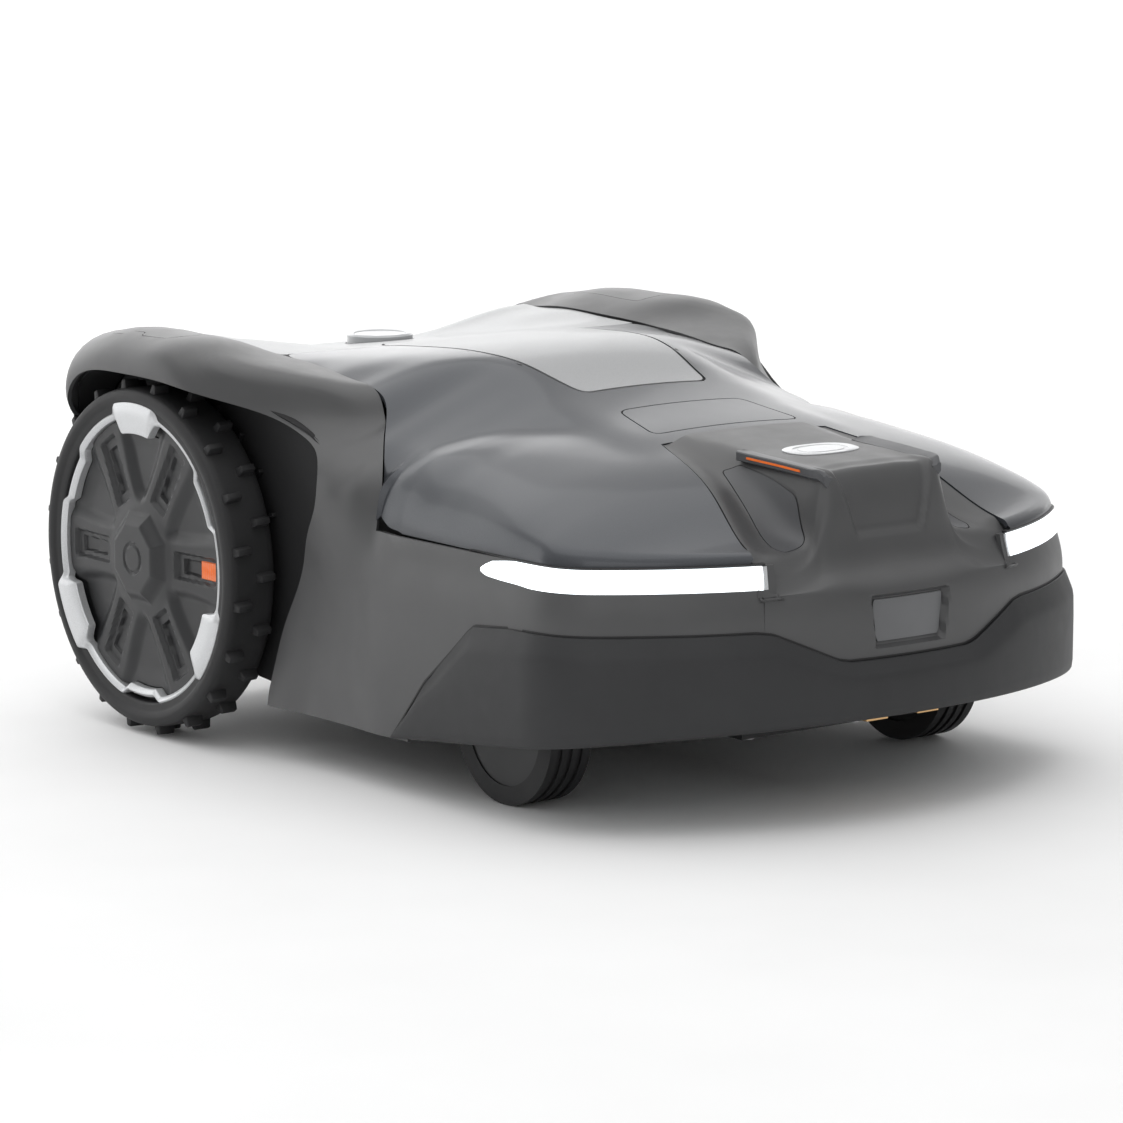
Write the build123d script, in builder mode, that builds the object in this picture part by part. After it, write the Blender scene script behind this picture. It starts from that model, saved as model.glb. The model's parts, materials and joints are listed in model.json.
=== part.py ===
"""Robotic lawn mower: a chassis on two driven wheels and two casters, under a floating shell.

Millimetres. The front is -Y, up is +Z, and the origin lies on the ground under the middle.
"""

from build123d import *
import os
from math import cos, pi, radians, sin

os.makedirs("parts", exist_ok=True)

# Overall size
overall_length = 730
overall_width = 560
overall_height = 310

# Floating shell
wall = 3
panel_gap = 1
shell_inset = 8
corner_y = -259
corner_x = 253
nose_front_y = -overall_length / 2
light_bottom = 170
light_top = 187
cover_bottom = 188
bumper_thickness = 7
bump_travel = 8
lift_travel = 8

# Driven wheels
wheel_y = 227
wheel_radius = 138
tread_radius = 131
rim_radius = 120
tyre_inner_x = 232
tyre_outer_x = 276
lugs_per_row = 20
axle_radius = 9

# Casters
caster_stem_x = 158
caster_stem_y = -160
caster_trail = 11
caster_radius = 56
caster_width = 36
caster_centre_x = 187
stem_radius = 8

# Cutting unit
disc_y = 28
disc_radius = 105
blade_pivot_radius = 90
height_travel = 40

# Chassis
floor_z = 45
split_z = 150
lid_top = 195
running_gap = 0.06


def save(piece, name):
    """Label a finished piece and write it as its own STEP file."""
    piece.label = name
    export_step(piece, f"parts/{name}.step")


def both_sides(right):
    """A right-hand piece together with its mirror image."""
    with BuildPart() as pair:
        add(right)
        mirror(right, about=Plane.YZ)
    return pair.part


def mirrored(right):
    """The left-hand copy of a right-hand piece."""
    with BuildPart() as left:
        mirror(right, about=Plane.YZ)
    return left.part


def prism(points, bottom, top, grow=0):
    """Vertical prism on a plan outline, grown outwards by grow."""
    with BuildPart() as block:
        with BuildSketch(Plane.XY.offset(bottom)):
            with BuildLine():
                Polyline(*points, close=True)
            make_face()
            if grow:
                offset(amount=grow, kind=Kind.INTERSECTION)
        extrude(amount=top - bottom)
    return block.part


def side_prism(points, low_x, high_x, grow=0):
    """Prism on a side outline of (y, z) points, from low_x to high_x."""
    with BuildPart() as block:
        with BuildSketch(Plane.YZ.offset(low_x)):
            with BuildLine():
                Polyline(*points, close=True)
            make_face()
            if grow:
                offset(amount=grow, kind=Kind.INTERSECTION)
        extrude(amount=high_x - low_x)
    return block.part


def front_prism(points, front_y, rear_y, grow=0):
    """Prism on a front outline of (x, z) points, from front_y to rear_y."""
    with BuildPart() as block:
        with BuildSketch(Plane.XZ.offset(-rear_y)):
            with BuildLine():
                Polyline(*points, close=True)
            make_face()
            if grow:
                offset(amount=grow, kind=Kind.INTERSECTION)
        extrude(amount=rear_y - front_y)
    return block.part


def mirror_outline(right_points):
    """Close a half outline by mirroring it in the centre plane."""
    return right_points + [(-x, value) for x, value in reversed(right_points)]


def box(low, high):
    """Box between two corners."""
    size = [b - a for a, b in zip(low, high)]
    centre = tuple((a + b) / 2 for a, b in zip(low, high))
    with BuildPart() as block:
        with Locations(centre):
            Box(*size)
    return block.part


def cylinder(centre, radius, bottom, top):
    """Upright cylinder at a plan position."""
    with BuildPart() as post:
        with BuildSketch(Plane.XY.offset(bottom)):
            with Locations(centre):
                Circle(radius)
        extrude(amount=top - bottom)
    return post.part


def cross_cylinder(y, z, radius, low_x, high_x):
    """Cylinder along X at a side position."""
    with BuildPart() as post:
        with BuildSketch(Plane.YZ.offset(low_x)):
            with Locations((y, z)):
                Circle(radius)
        extrude(amount=high_x - low_x)
    return post.part


def cut(piece, *tools):
    """A piece with tools cut away from it."""
    with BuildPart() as result:
        add(piece)
        for tool in tools:
            add(tool, mode=Mode.SUBTRACT)
    return result.part


def join(*pieces):
    """Pieces united into one."""
    with BuildPart() as result:
        for piece in pieces:
            add(piece)
    return result.part


def common(piece, *tools):
    """What a piece shares with each tool."""
    with BuildPart() as result:
        add(piece)
        for tool in tools:
            add(tool, mode=Mode.INTERSECT)
    return result.part


# ---------------------------------------------------------------- outer form of the shell

shell_side_points = [(251, -110), (244, -71), (240, 40), (235, 75), (235, 340), (205, 352)]
shell_bottom_points = [(-365, 75), (-71, 41), (82, 41), (95, 75), (150, 70), (352, 70)]
shell_top_points = [
    (352, 262), (340, 286), (200, 294), (148, 292), (40, 285), (-10, 276), (-60, 262),
    (-114, 253), (-171, 240), (-224, 220), (-300, 199), (-335, 190), (-365, 187),
]
shell_front_points = [(260, 20), (260, 183), (238, 198), (227, 216), (206, 275), (190, 287), (100, 303)]
deck_top_points = [(-172, 256), (-97, 271), (-56, 278), (0, 297), (51, 303), (141, 299), (190, 290)]
deck_half_width = 98
valley_top_points = [(150, 298), (190, 290), (265, 282), (352, 270)]
valley_half_width = 120


def plan_block(inset, bottom, top):
    """Upright block inside the shell's plan outline, set in by inset from the bumper's face."""
    with BuildPart() as block:
        with BuildSketch(Plane.XY.offset(bottom)):
            with BuildLine():
                ThreePointArc((-corner_x, corner_y), (0, nose_front_y), (corner_x, corner_y))
                right_side = [(corner_x, corner_y)] + shell_side_points
                left_side = [(-x, y) for x, y in reversed(right_side)]
                Polyline(*right_side, *left_side)
            make_face()
            if inset:
                offset(amount=-inset, kind=Kind.INTERSECTION)
        extrude(amount=top - bottom)
    return block.part


def hull(skin):
    """Outer form of the shell between the fenders; skin takes that much off its outside."""
    bottom_points = shell_bottom_points if skin == 0 else [(-365, -60), (352, -60)]
    plan = plan_block(shell_inset + skin, -70, overall_height)
    side = side_prism(bottom_points + shell_top_points, -overall_width, overall_width, grow=-skin)
    deck_width = deck_half_width - skin
    deck_side = side_prism(deck_top_points + [(190, 150), (-172, 150)], -deck_width, deck_width, grow=-skin)
    front = front_prism(mirror_outline(shell_front_points), -400, 400, grow=-skin)
    valley = side_prism(valley_top_points + [(400, 270), (400, 330), (150, 330)],
                        -valley_half_width - skin, valley_half_width + skin, grow=skin)
    return cut(common(join(side, deck_side), plan, front), valley)


# ---------------------------------------------------------------- nose

nose_profile_points = [
    (-365, 112), (-365, 150), (-352, 166), (-338, 178), (-325, 238), (-317, 247), (-172, 257), (-172, 112),
]
nose_front_section = [(124, 112), (122, 141), (119, 187), (54, 250)]
nose_rear_section = [(78, 112), (78, 141), (77, 250), (76, 258)]
nose_lower_edge = [(140, 160), (122, 141), (62, 118)]


def nose_block(skin):
    """Raised centre of the front; skin takes that much off its outside."""
    with BuildPart() as block:
        for y, section in ((-172, nose_rear_section), (-366, nose_front_section)):
            points = [(x - skin, z) for x, z in section[:-1]]
            points.append((section[-1][0] - skin / 2, section[-1][1] - skin))
            with BuildSketch(Plane.XZ.offset(-y)):
                with BuildLine():
                    Polyline(*mirror_outline(points), close=True)
                make_face()
        loft(ruled=True)
    side = side_prism(nose_profile_points, -200, 200, grow=-skin)
    return common(block.part, side, plan_block(shell_inset + skin, 90, 290))


nose_outer = nose_block(0)
nose_inner = join(
    nose_block(wall),
    box((-72, -349, 100), (72, -170, 150)),
    box((-73, -180, 100), (73, -160, 252)),
)
nose_wall = cut(nose_outer, nose_inner)
nose_step = front_prism([(62, 90), (62, 118), (122, 141), (200, 141), (200, 90)], -400, -280)

upper_recess = front_prism(mirror_outline([(30, 200), (44, 256)]), -400, -300)
lower_recess = front_prism(mirror_outline([(31, 124), (35, 160)]), -400, -330)
trim_outline = [(63, -243), (57, -320), (113, -314), (98, -243)]
trim_right = common(nose_wall, prism(trim_outline, 188, 260))
accent_outline = [(80, -247), (82, -247), (87, -316), (84, -316)]
accent_skin = cut(common(nose_block(-0.6), prism(accent_outline, 188, 260)), nose_outer)

contact_holder = join(box((-44, -350, 72), (44, -314, 78)), box((-30, -353, 77), (30, -348, 115)))
nose_cover = join(
    cut(
        nose_wall,
        upper_recess,
        lower_recess,
        both_sides(prism(trim_outline, 188, 260, grow=0.5)),
        box((-90, -205, 100), (90, -160, 162)),
    ),
    contact_holder,
)
nose_plate = common(cut(nose_block(wall), nose_block(2 * wall)),
                    front_prism(mirror_outline([(30, 200), (44, 250)]), -400, -300, grow=4))
sensor_window = common(cut(nose_block(wall), nose_block(2 * wall)),
                       front_prism(mirror_outline([(31, 124), (35, 160)]), -400, -330, grow=4))

save(nose_cover, "nose_cover")
save(nose_plate, "nose_plate")
save(sensor_window, "sensor_window")
save(both_sides(trim_right), "nose_trims")
save(both_sides(accent_skin), "accent_strips")

# ---------------------------------------------------------------- shell panels

hull_outer = hull(0)
hull_inner = hull(wall)
hull_wall = cut(hull_outer, hull_inner)
nose_clearance = nose_block(-panel_gap)

cover_outline = mirror_outline(
    [(270, -370), (270, -34), (223, -34), (206, -8), (190, 148), (174, 172), (96, 152)]
)
hatch_outline = mirror_outline([(58.5, -56), (80, 40), (94, 150), (72, 178)])
badge_outline = mirror_outline([(69, -152), (58, -97)])
rear_deck_outline = mirror_outline([(96, 153), (172, 174), (172, 335)])
front_gap = box((-60, -57.4, 240), (60, -50, 300))

cover_zone = prism(cover_outline, cover_bottom, 320)
cover_zone_grown = prism(cover_outline, cover_bottom - panel_gap, 320, grow=panel_gap)
hatch_hole = join(prism(hatch_outline, 230, 320, grow=panel_gap), front_gap)
badge_hole = prism(badge_outline, 230, 320, grow=0.5)
rear_deck_zone = prism(rear_deck_outline, 250, 320)

# Sockets that take the suspension posts
post_radius = 6
post_top = 262
post_places = [(150, 30), (-150, 30), (150, 140), (-150, 140)]
with BuildPart() as sockets:
    with BuildSketch(Plane.XY.offset(240)):
        with Locations(*post_places):
            Circle(10)
    extrude(amount=60)
    with BuildSketch(Plane.XY.offset(240)):
        with Locations(*post_places):
            Circle(post_radius + running_gap)
    extrude(amount=post_top + 0.4 - 240, mode=Mode.SUBTRACT)
socket_posts = common(sockets.part, hull(wall / 2))

top_cover = join(
    cut(common(hull_wall, cover_zone), nose_clearance, hatch_hole, badge_hole),
    socket_posts,
)
badge_plate = common(hull_wall, prism(badge_outline, 230, 320))
save(top_cover, "top_cover")
save(badge_plate, "badge_plate")

# STOP button in its guide on the rear deck
stop_y = 288
stop_radius = 27
stop_bottom = 266
stop_top = 287
button_gap = 0.6
stop_guide = cut(
    cylinder((0, stop_y), stop_radius + 4, 254, 276),
    cylinder((0, stop_y), stop_radius + button_gap, 256, 300),
)
rear_deck = join(
    cut(
        common(hull_wall, rear_deck_zone),
        hatch_hole,
        cylinder((0, stop_y), stop_radius + button_gap, 200, 320),
    ),
    stop_guide,
)
save(rear_deck, "rear_deck")

with BuildPart() as stop_button:
    with BuildSketch(Plane.XY.offset(stop_bottom)):
        with Locations((0, stop_y)):
            Circle(stop_radius)
    extrude(amount=stop_top - stop_bottom)
    fillet(stop_button.edges().group_by(Axis.Z)[-1], radius=4)
save(stop_button.part, "stop_button")

# Fenders over the driven wheels
fender_inner_x = 190
fender_outer_x = 278
fender_wall = 4
fender_top_points = [
    (0, 188), (-6, 230), (2, 262), (66, 287), (120, 299), (176, 306), (225, 310),
    (285, 309), (330, 298), (350, 268), (345, 243),
]
fender_lip_points = [(335, 247), (315, 268), (284, 280), (184, 281), (76, 259), (22, 228), (16, 190)]
fender_front_points = [
    (190, 180), (190, 300), (212, 307), (230, 311), (250, 304), (268, 290), (278, 278), (278, 180),
]


def fender_block(skin, low_x, high_x, drop=0):
    """Arched block of the right fender, drop lowers it."""
    outline = [(y, z - drop) for y, z in fender_top_points + fender_lip_points]
    side = side_prism(outline, low_x, high_x, grow=-skin)
    front = front_prism([(x, z - drop) for x, z in fender_front_points], -100, 400, grow=-skin)
    return common(side, front)


fender_open = join(
    fender_block(fender_wall, fender_inner_x, fender_outer_x),
    common(fender_block(fender_wall, fender_inner_x, fender_outer_x, drop=10),
           box((239, 30, 100), (fender_outer_x - fender_wall, 340, 300))),
)
cap_zone = box((202, 204, 250), (254, 300, 320))
cap_recess = box((201.5, 203.5, 250), (254.5, 300.5, 320))
fender_outer = fender_block(0, fender_inner_x, fender_outer_x)
fender_skin = cut(fender_outer, fender_block(0, fender_inner_x - 5, fender_outer_x + 5, drop=2))
fender_cap = common(fender_skin, cap_zone)
fender = cut(
    fender_outer,
    fender_open,
    common(fender_skin, cap_recess),
    box((180, -20, 170), (224, 335, 258)),
)
save(both_sides(fender_cap), "fender_caps")

# Body shell: everything between and below the other panels, with both fenders
light_slot = cut(
    plan_block(0, light_bottom, light_top),
    box((-119.5, -400, 160), (119.5, 400, 190)),
    box((-300, -140.5, 160), (300, 400, 190)),
)
wheel_hole = cross_cylinder(wheel_y, wheel_radius, 46, -300, 300)
caster_room = box((-300, -400, -10), (300, -72, 116))
lower_shell = cut(
    hull_wall,
    cover_zone_grown,
    prism(hatch_outline, 230, 320, grow=panel_gap),
    prism(rear_deck_outline, 250 - panel_gap, 320, grow=panel_gap),
    nose_clearance,
    light_slot,
    wheel_hole,
    caster_room,
)
body_shell = cut(join(lower_shell, both_sides(fender)), cover_zone_grown)
save(body_shell, "body_shell")

# Bumper: a rubber band round the front and both sides
bumper_side_points = [
    (-366, 75), (-71, 41), (-106, 87), (-163, 135), (-200, 141), (-366, 141),
]
bumper_dip = front_prism(mirror_outline([(62, 116), (124, 141.01), (124, 160)]), -400, -250)
bumper = cut(
    common(cut(plan_block(0, 30, 150), plan_block(bumper_thickness, 20, 160)),
           side_prism(bumper_side_points, -300, 300)),
    bumper_dip,
)
save(bumper, "front_bumper")

# Lights
lens_ring = cut(
    plan_block(shell_inset + 0.5, light_bottom + 0.5, light_top - 0.5),
    plan_block(shell_inset + wall, 160, 200),
    box((-120, -400, 160), (120, 400, 190)),
    box((-300, -141, 160), (300, 400, 190)),
)
lens_right = common(lens_ring, box((0, -400, 100), (300, 0, 200)))
save(lens_right, "light_lens_right")
save(mirrored(lens_right), "light_lens_left")
board_ring = cut(
    plan_block(shell_inset + wall + 2, light_bottom + 2, light_top - 2),
    plan_block(shell_inset + wall + 4, 160, 200),
    box((-124, -400, 160), (124, 400, 190)),
    box((-300, -150, 160), (300, 400, 190)),
)
save(board_ring, "light_boards")

# ---------------------------------------------------------------- hatch, its hinge and the keypad

hinge_y = -48
hinge_z = 274.2
hinge_radius = 1.25
knuckle_radius = 2.6
tray_floor = 258
tray_top = 262
hatch_panel = common(hull_wall, prism(hatch_outline, 230, 320))


def knuckle(x, length, foot_z):
    """Hinge knuckle at x, reaching down or up to foot_z."""
    low_x, high_x = x - length / 2, x + length / 2
    low_z, high_z = sorted((hinge_z, foot_z))
    return cut(
        join(cross_cylinder(hinge_y, hinge_z, knuckle_radius, low_x, high_x),
             box((low_x, hinge_y - knuckle_radius, low_z), (high_x, hinge_y + knuckle_radius, high_z))),
        cross_cylinder(hinge_y, hinge_z, hinge_radius + running_gap, low_x - 1, high_x + 1),
    )


hatch = join(hatch_panel, knuckle(40, 14, 278), knuckle(-40, 14, 278))
save(hatch, "hatch")

key_places = [(24, 30), (-24, 30)]
key_size = (20, 14)
key_clear = 0.5
with BuildPart() as tray_holes:
    with BuildSketch(Plane.XY.offset(tray_floor - 5)):
        with Locations(*key_places):
            Rectangle(key_size[0] + 2 * key_clear, key_size[1] + 2 * key_clear)
    extrude(amount=20)
tray_body = cut(
    common(prism(hatch_outline, tray_floor, 320, grow=5), hull(wall + 0.4)),
    prism(hatch_outline, tray_top, 320, grow=-5),
    box((-60, -57.4, tray_top), (60, -40, 300)),
    box((-80, -80, 200), (80, -59, 300)),
    badge_hole,
    tray_holes.part,
)
display = box((-34, 56, tray_top - 1), (34, 92, tray_top + 3))
keypad_tray = join(tray_body, knuckle(20, 14, tray_top - 1), knuckle(-20, 14, tray_top - 1), display)
save(keypad_tray, "keypad_tray")
save(cross_cylinder(hinge_y, hinge_z, hinge_radius, -52, 52), "hatch_pin")

for name, (x, y) in zip(("start_key", "home_key"), key_places):
    with BuildPart() as key:
        with BuildSketch(Plane.XY.offset(tray_floor - 2)):
            with Locations((x, y)):
                RectangleRounded(*key_size, 3)
        extrude(amount=9)
    save(key.part, name)

# ---------------------------------------------------------------- chassis

spine_half_width = 66
chassis_half_width = 198
chassis_front = -248
chassis_shoulder = -64
chassis_rear = 332
recess_radius = 130
recess_roof = 75
chassis_outline = mirror_outline([
    (spine_half_width, chassis_front),
    (spine_half_width, chassis_shoulder - 10),
    (chassis_half_width, chassis_shoulder),
    (chassis_half_width, chassis_rear),
])
gearbox_radius = 38
gearbox_places = cross_cylinder(wheel_y, wheel_radius, gearbox_radius + 0.3, -260, 260)
battery_bay = box((-76, 168, 30), (76, 312, floor_z + wall))
switch_place = (120, 296)
switch_size = (26, 16)
switch_hole = box((switch_place[0] - 14, switch_place[1] - 9, 30),
                  (switch_place[0] + 14, switch_place[1] + 9, floor_z + wall + 1))
guide_rod_x = 62
motor_radius = 32
caster_boss_radius = 20
arm_bottom = 122

caster_arm_beam = box((spine_half_width - 2, caster_stem_y - 20, arm_bottom),
                      (caster_stem_x, caster_stem_y + 20, split_z))
caster_boss = cylinder((caster_stem_x, caster_stem_y), caster_boss_radius, arm_bottom, split_z)
stem_bore = cylinder((caster_stem_x, caster_stem_y), stem_radius + running_gap, arm_bottom - 5, split_z + 5)
tub_shell = cut(
    prism(chassis_outline, floor_z, split_z),
    prism(chassis_outline, floor_z + wall, split_z + 1, grow=-wall),
)
recess_block = cylinder((0, disc_y), recess_radius + wall, floor_z, recess_roof + wall)
recess_space = cylinder((0, disc_y), recess_radius, floor_z - 10, recess_roof)
motor_hole = cylinder((0, disc_y), motor_radius + 4, 40, recess_roof + 10)
chassis_tub = cut(
    join(tub_shell, recess_block, both_sides(join(caster_arm_beam, caster_boss))),
    recess_space,
    motor_hole,
    both_sides(stem_bore),
    gearbox_places,
    battery_bay,
    switch_hole,
)
save(chassis_tub, "chassis_tub")

rail_x = 120
rail_z = 208
rail_radius = 5
stand = cut(
    join(box((rail_x - 9, 12, lid_top - 1), (rail_x + 9, 22, rail_z + 8)),
         box((rail_x - 9, 158, lid_top - 1), (rail_x + 9, 168, rail_z + 8))),
    Location((rail_x, 90, rail_z), (90, 0, 0)) * Cylinder(rail_radius, 200),
)
lid_shell = cut(
    prism(chassis_outline, split_z, lid_top),
    prism(chassis_outline, split_z - 1, lid_top - wall, grow=-wall),
    gearbox_places,
)
save(join(lid_shell, both_sides(stand)), "chassis_lid")

with BuildPart() as rail:
    with Locations(Location((rail_x, 90, rail_z), (90, 0, 0))):
        Cylinder(rail_radius, 156)
save(both_sides(rail.part), "suspension_rails")

sleeve = cut(
    join(Location((rail_x, 90, rail_z), (90, 0, 0)) * Cylinder(9, 60),
         box((rail_x - 7, 60, rail_z), (rail_x + 7, 120, 220))),
    Location((rail_x, 90, rail_z), (90, 0, 0)) * Cylinder(rail_radius + running_gap, 200),
)
frame_plate = cut(
    box((-162, 18, 219), (162, 152, 223)),
    box((-100, 40, 210), (100, 130, 230)),
)
with BuildPart() as posts:
    with BuildSketch(Plane.XY.offset(221)):
        with Locations(*post_places):
            Circle(post_radius)
    extrude(amount=post_top - 221)
save(join(both_sides(sleeve), frame_plate, posts.part), "suspension_frame")

with BuildPart() as battery:
    with Locations((0, 240, 90)):
        Box(140, 136, 76)
    fillet(battery.edges().filter_by(Axis.Y), radius=6)
save(battery.part, "battery_pack")
save(box((-84, 162, floor_z - wall), (84, 318, floor_z)), "battery_cover")

board_components = [
    ((-30, -200), (24, 24, 3)),
    ((20, -190), (30, 20, 12)),
    ((-25, -140), (40, 12, 10)),
    ((25, -130), (16, 30, 8)),
]
board_feet = [(-48, -230), (48, -230), (-48, -120), (48, -120)]
with BuildPart() as main_board:
    with Locations((0, -175, 61)):
        Box(110, 124, 1.6)
    for (x, y), (size_x, size_y, size_z) in board_components:
        with Locations((x, y, 61.8 + size_z / 2)):
            Box(size_x, size_y, size_z)
    with BuildSketch(Plane.XY.offset(floor_z + wall)):
        with Locations(*board_feet):
            Circle(4)
    extrude(amount=60.2 - floor_z - wall)
save(main_board.part, "main_board")

gearbox_right = cut(
    join(cross_cylinder(wheel_y, wheel_radius, gearbox_radius, 132, 210),
         cross_cylinder(wheel_y, wheel_radius, 30, 92, 133),
         cross_cylinder(wheel_y, wheel_radius, 20, 209, 222)),
    cross_cylinder(wheel_y, wheel_radius, axle_radius + running_gap, 196, 230),
)
save(gearbox_right, "drive_gearbox_right")
save(mirrored(gearbox_right), "drive_gearbox_left")

guide_rod = cylinder((guide_rod_x, disc_y), 5, recess_roof + wall, 165)
save(both_sides(guide_rod), "guide_rods")
actuator_y = 80
actuator_rod_radius = 4
actuator = cut(
    cylinder((0, actuator_y), 14, 146, lid_top - wall),
    cylinder((0, actuator_y), actuator_rod_radius + running_gap, 140, lid_top - wall - 1.5),
)
save(actuator, "height_actuator")

screw_places = [
    (-184, -40), (184, -40), (-184, 120), (184, 120), (-184, 318), (184, 318),
    (-50, -236), (50, -236), (0, 324), (0, -120),
]
with BuildPart() as screws:
    with BuildSketch(Plane.XY.offset(floor_z - 2.5)):
        with Locations(*screw_places):
            Circle(4.5)
    extrude(amount=2.5)
    with BuildSketch(Plane.XY.offset(floor_z - 2.5)):
        with Locations(*screw_places):
            RegularPolygon(2.2, 6)
    extrude(amount=1.6, mode=Mode.SUBTRACT)
save(screws.part, "chassis_screws")

# Rocker switch in the chassis floor
switch_axis_z = floor_z + 2
rocker_points = [(-8, 6), (-8, -1.6), (0, -3), (8, -4.4), (8, 6)]
rocker = side_prism(
    [(switch_place[1] + y, switch_axis_z + z) for y, z in rocker_points],
    switch_place[0] - switch_size[0] / 2,
    switch_place[0] + switch_size[0] / 2,
)
rocker_pin = cross_cylinder(switch_place[1], switch_axis_z, 1.5, switch_place[0] - 13.8, switch_place[0] + 13.8)
save(join(rocker, rocker_pin), "power_switch")

contact = box((14, -346, 70), (34, -318, 72))
save(both_sides(contact), "charging_contacts")

# ---------------------------------------------------------------- cutting unit

disc_bottom = 24
disc_thickness = 3
plate_bottom = 96
carriage = cut(
    join(
        box((-74, disc_y - 20, plate_bottom), (74, disc_y + 20, plate_bottom + 6)),
        box((-12, disc_y, plate_bottom), (12, actuator_y + 10, plate_bottom + 6)),
        cylinder((0, disc_y), motor_radius + 5, plate_bottom - 6, plate_bottom + 10),
        both_sides(cylinder((guide_rod_x, disc_y), 9, plate_bottom - 6, plate_bottom + 14)),
        cylinder((0, actuator_y), actuator_rod_radius, plate_bottom + 5, 150),
    ),
    cylinder((0, disc_y), motor_radius, 60, 140),
    both_sides(cylinder((guide_rod_x, disc_y), 5 + running_gap, 60, 140)),
)
save(carriage, "motor_carriage")

spindle_radius = 4
blade_motor = cut(
    join(cylinder((0, disc_y), motor_radius, 36, 116), cylinder((0, disc_y), 12, 115, 120)),
    cylinder((0, disc_y), spindle_radius + running_gap, 30, 58),
)
save(blade_motor, "blade_motor")

with BuildPart() as cutting_disc:
    with BuildSketch(Plane.XY.offset(disc_bottom)):
        with Locations((0, disc_y)):
            Circle(disc_radius)
            with PolarLocations(62, 6, start_angle=30):
                SlotOverall(34, 12, rotation=90, mode=Mode.SUBTRACT)
    extrude(amount=disc_thickness)
    with BuildSketch(Plane.XY.offset(disc_bottom + disc_thickness)):
        with Locations((0, disc_y)):
            Circle(20)
    extrude(amount=7)
    with BuildSketch(Plane.XY.offset(34)):
        with Locations((0, disc_y)):
            Circle(spindle_radius)
    extrude(amount=20)
    with BuildSketch(Plane.XY.offset(17)):
        with Locations((0, disc_y)):
            Circle(6)
    extrude(amount=disc_bottom - 17)
save(cutting_disc.part, "cutting_disc")

blade_bottom = 22.1
blade_thickness = 1.2
screw_shank_radius = 2.5
blade_angles = (90, 210, 330)


def at_pivot(angle):
    """Place of a blade pivot, its X axis pointing outwards."""
    x = blade_pivot_radius * cos(radians(angle))
    y = disc_y + blade_pivot_radius * sin(radians(angle))
    return Location((x, y, 0), (0, 0, angle))


with BuildPart() as blade_screws:
    for angle in blade_angles:
        with Locations(at_pivot(angle) * Location((0, 0, 21.8 + (disc_bottom - 21.8) / 2))):
            Cylinder(screw_shank_radius, disc_bottom - 21.8)
        with Locations(at_pivot(angle) * Location((0, 0, 20.8))):
            Cylinder(5, 2)
skid_screw = join(cylinder((0, disc_y), 2.9, 12.5, 17), cylinder((0, disc_y), 8, 10.5, 12.6))
save(join(blade_screws.part, skid_screw), "disc_screws")

for number, angle in enumerate(blade_angles, start=1):
    with BuildPart() as blade:
        with BuildSketch(Plane(at_pivot(angle)).offset(blade_bottom)):
            with Locations((10, 0)):
                Rectangle(40, 17)
            Circle(screw_shank_radius + running_gap, mode=Mode.SUBTRACT)
        extrude(amount=blade_thickness)
        chamfer(blade.edges().filter_by(Axis.Z).sort_by(lambda edge: edge.length)[-4:], length=2)
    save(blade.part, f"blade_{number}")

with BuildPart() as skid_plate:
    with BuildSketch(Plane.XY.offset(13)):
        with Locations((0, disc_y)):
            Circle(92)
            Circle(3, mode=Mode.SUBTRACT)
    extrude(amount=3.5)
    chamfer(skid_plate.edges().group_by(Axis.Z)[0].sort_by(SortBy.LENGTH)[-1], length=2)
save(skid_plate.part, "skid_plate")

# ---------------------------------------------------------------- driven wheels

rim_profile = [
    (axle_radius, 240), (26, 240), (26, 254), (108, 254), (108, 237), (rim_radius, 237),
    (rim_radius, 262), (axle_radius, 262),
]
tyre_profile = [
    (rim_radius, 235), (123, tyre_inner_x), (128, tyre_inner_x + 1), (tread_radius, 237),
    (tread_radius, 271), (128, 275), (123, tyre_outer_x), (121, 275), (rim_radius, 272),
]
cap_profile = [(0, 262), (104.5, 262), (104.5, 270), (40, 272), (34, 280), (0, 280)]
ring_profile = [(105, 262), (rim_radius, 262), (rim_radius, 273), (105, 273)]


def turned(profile):
    """Solid turned about the wheel's axle from (radius, x) points."""
    with BuildPart() as solid:
        with BuildSketch(Plane(origin=(0, wheel_y, wheel_radius), x_dir=(0, 0, 1), z_dir=(0, 1, 0))):
            with BuildLine():
                Polyline(*profile, close=True)
            make_face()
        revolve(axis=Axis((0, wheel_y, wheel_radius), (1, 0, 0)))
    return solid.part


def lug_row(low_x, high_x, phase):
    """One row of tread lugs between two x positions."""
    tip = cross_cylinder(wheel_y, wheel_radius, wheel_radius, low_x, high_x)
    with BuildPart() as bars:
        with BuildSketch(Plane.YZ.offset(low_x)):
            with Locations((wheel_y, wheel_radius)):
                with PolarLocations(134, lugs_per_row, start_angle=phase):
                    Rectangle(12, 8)
        extrude(amount=high_x - low_x)
    return cut(common(bars.part, tip), cross_cylinder(wheel_y, wheel_radius, tread_radius - 1, 200, 300))


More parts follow.
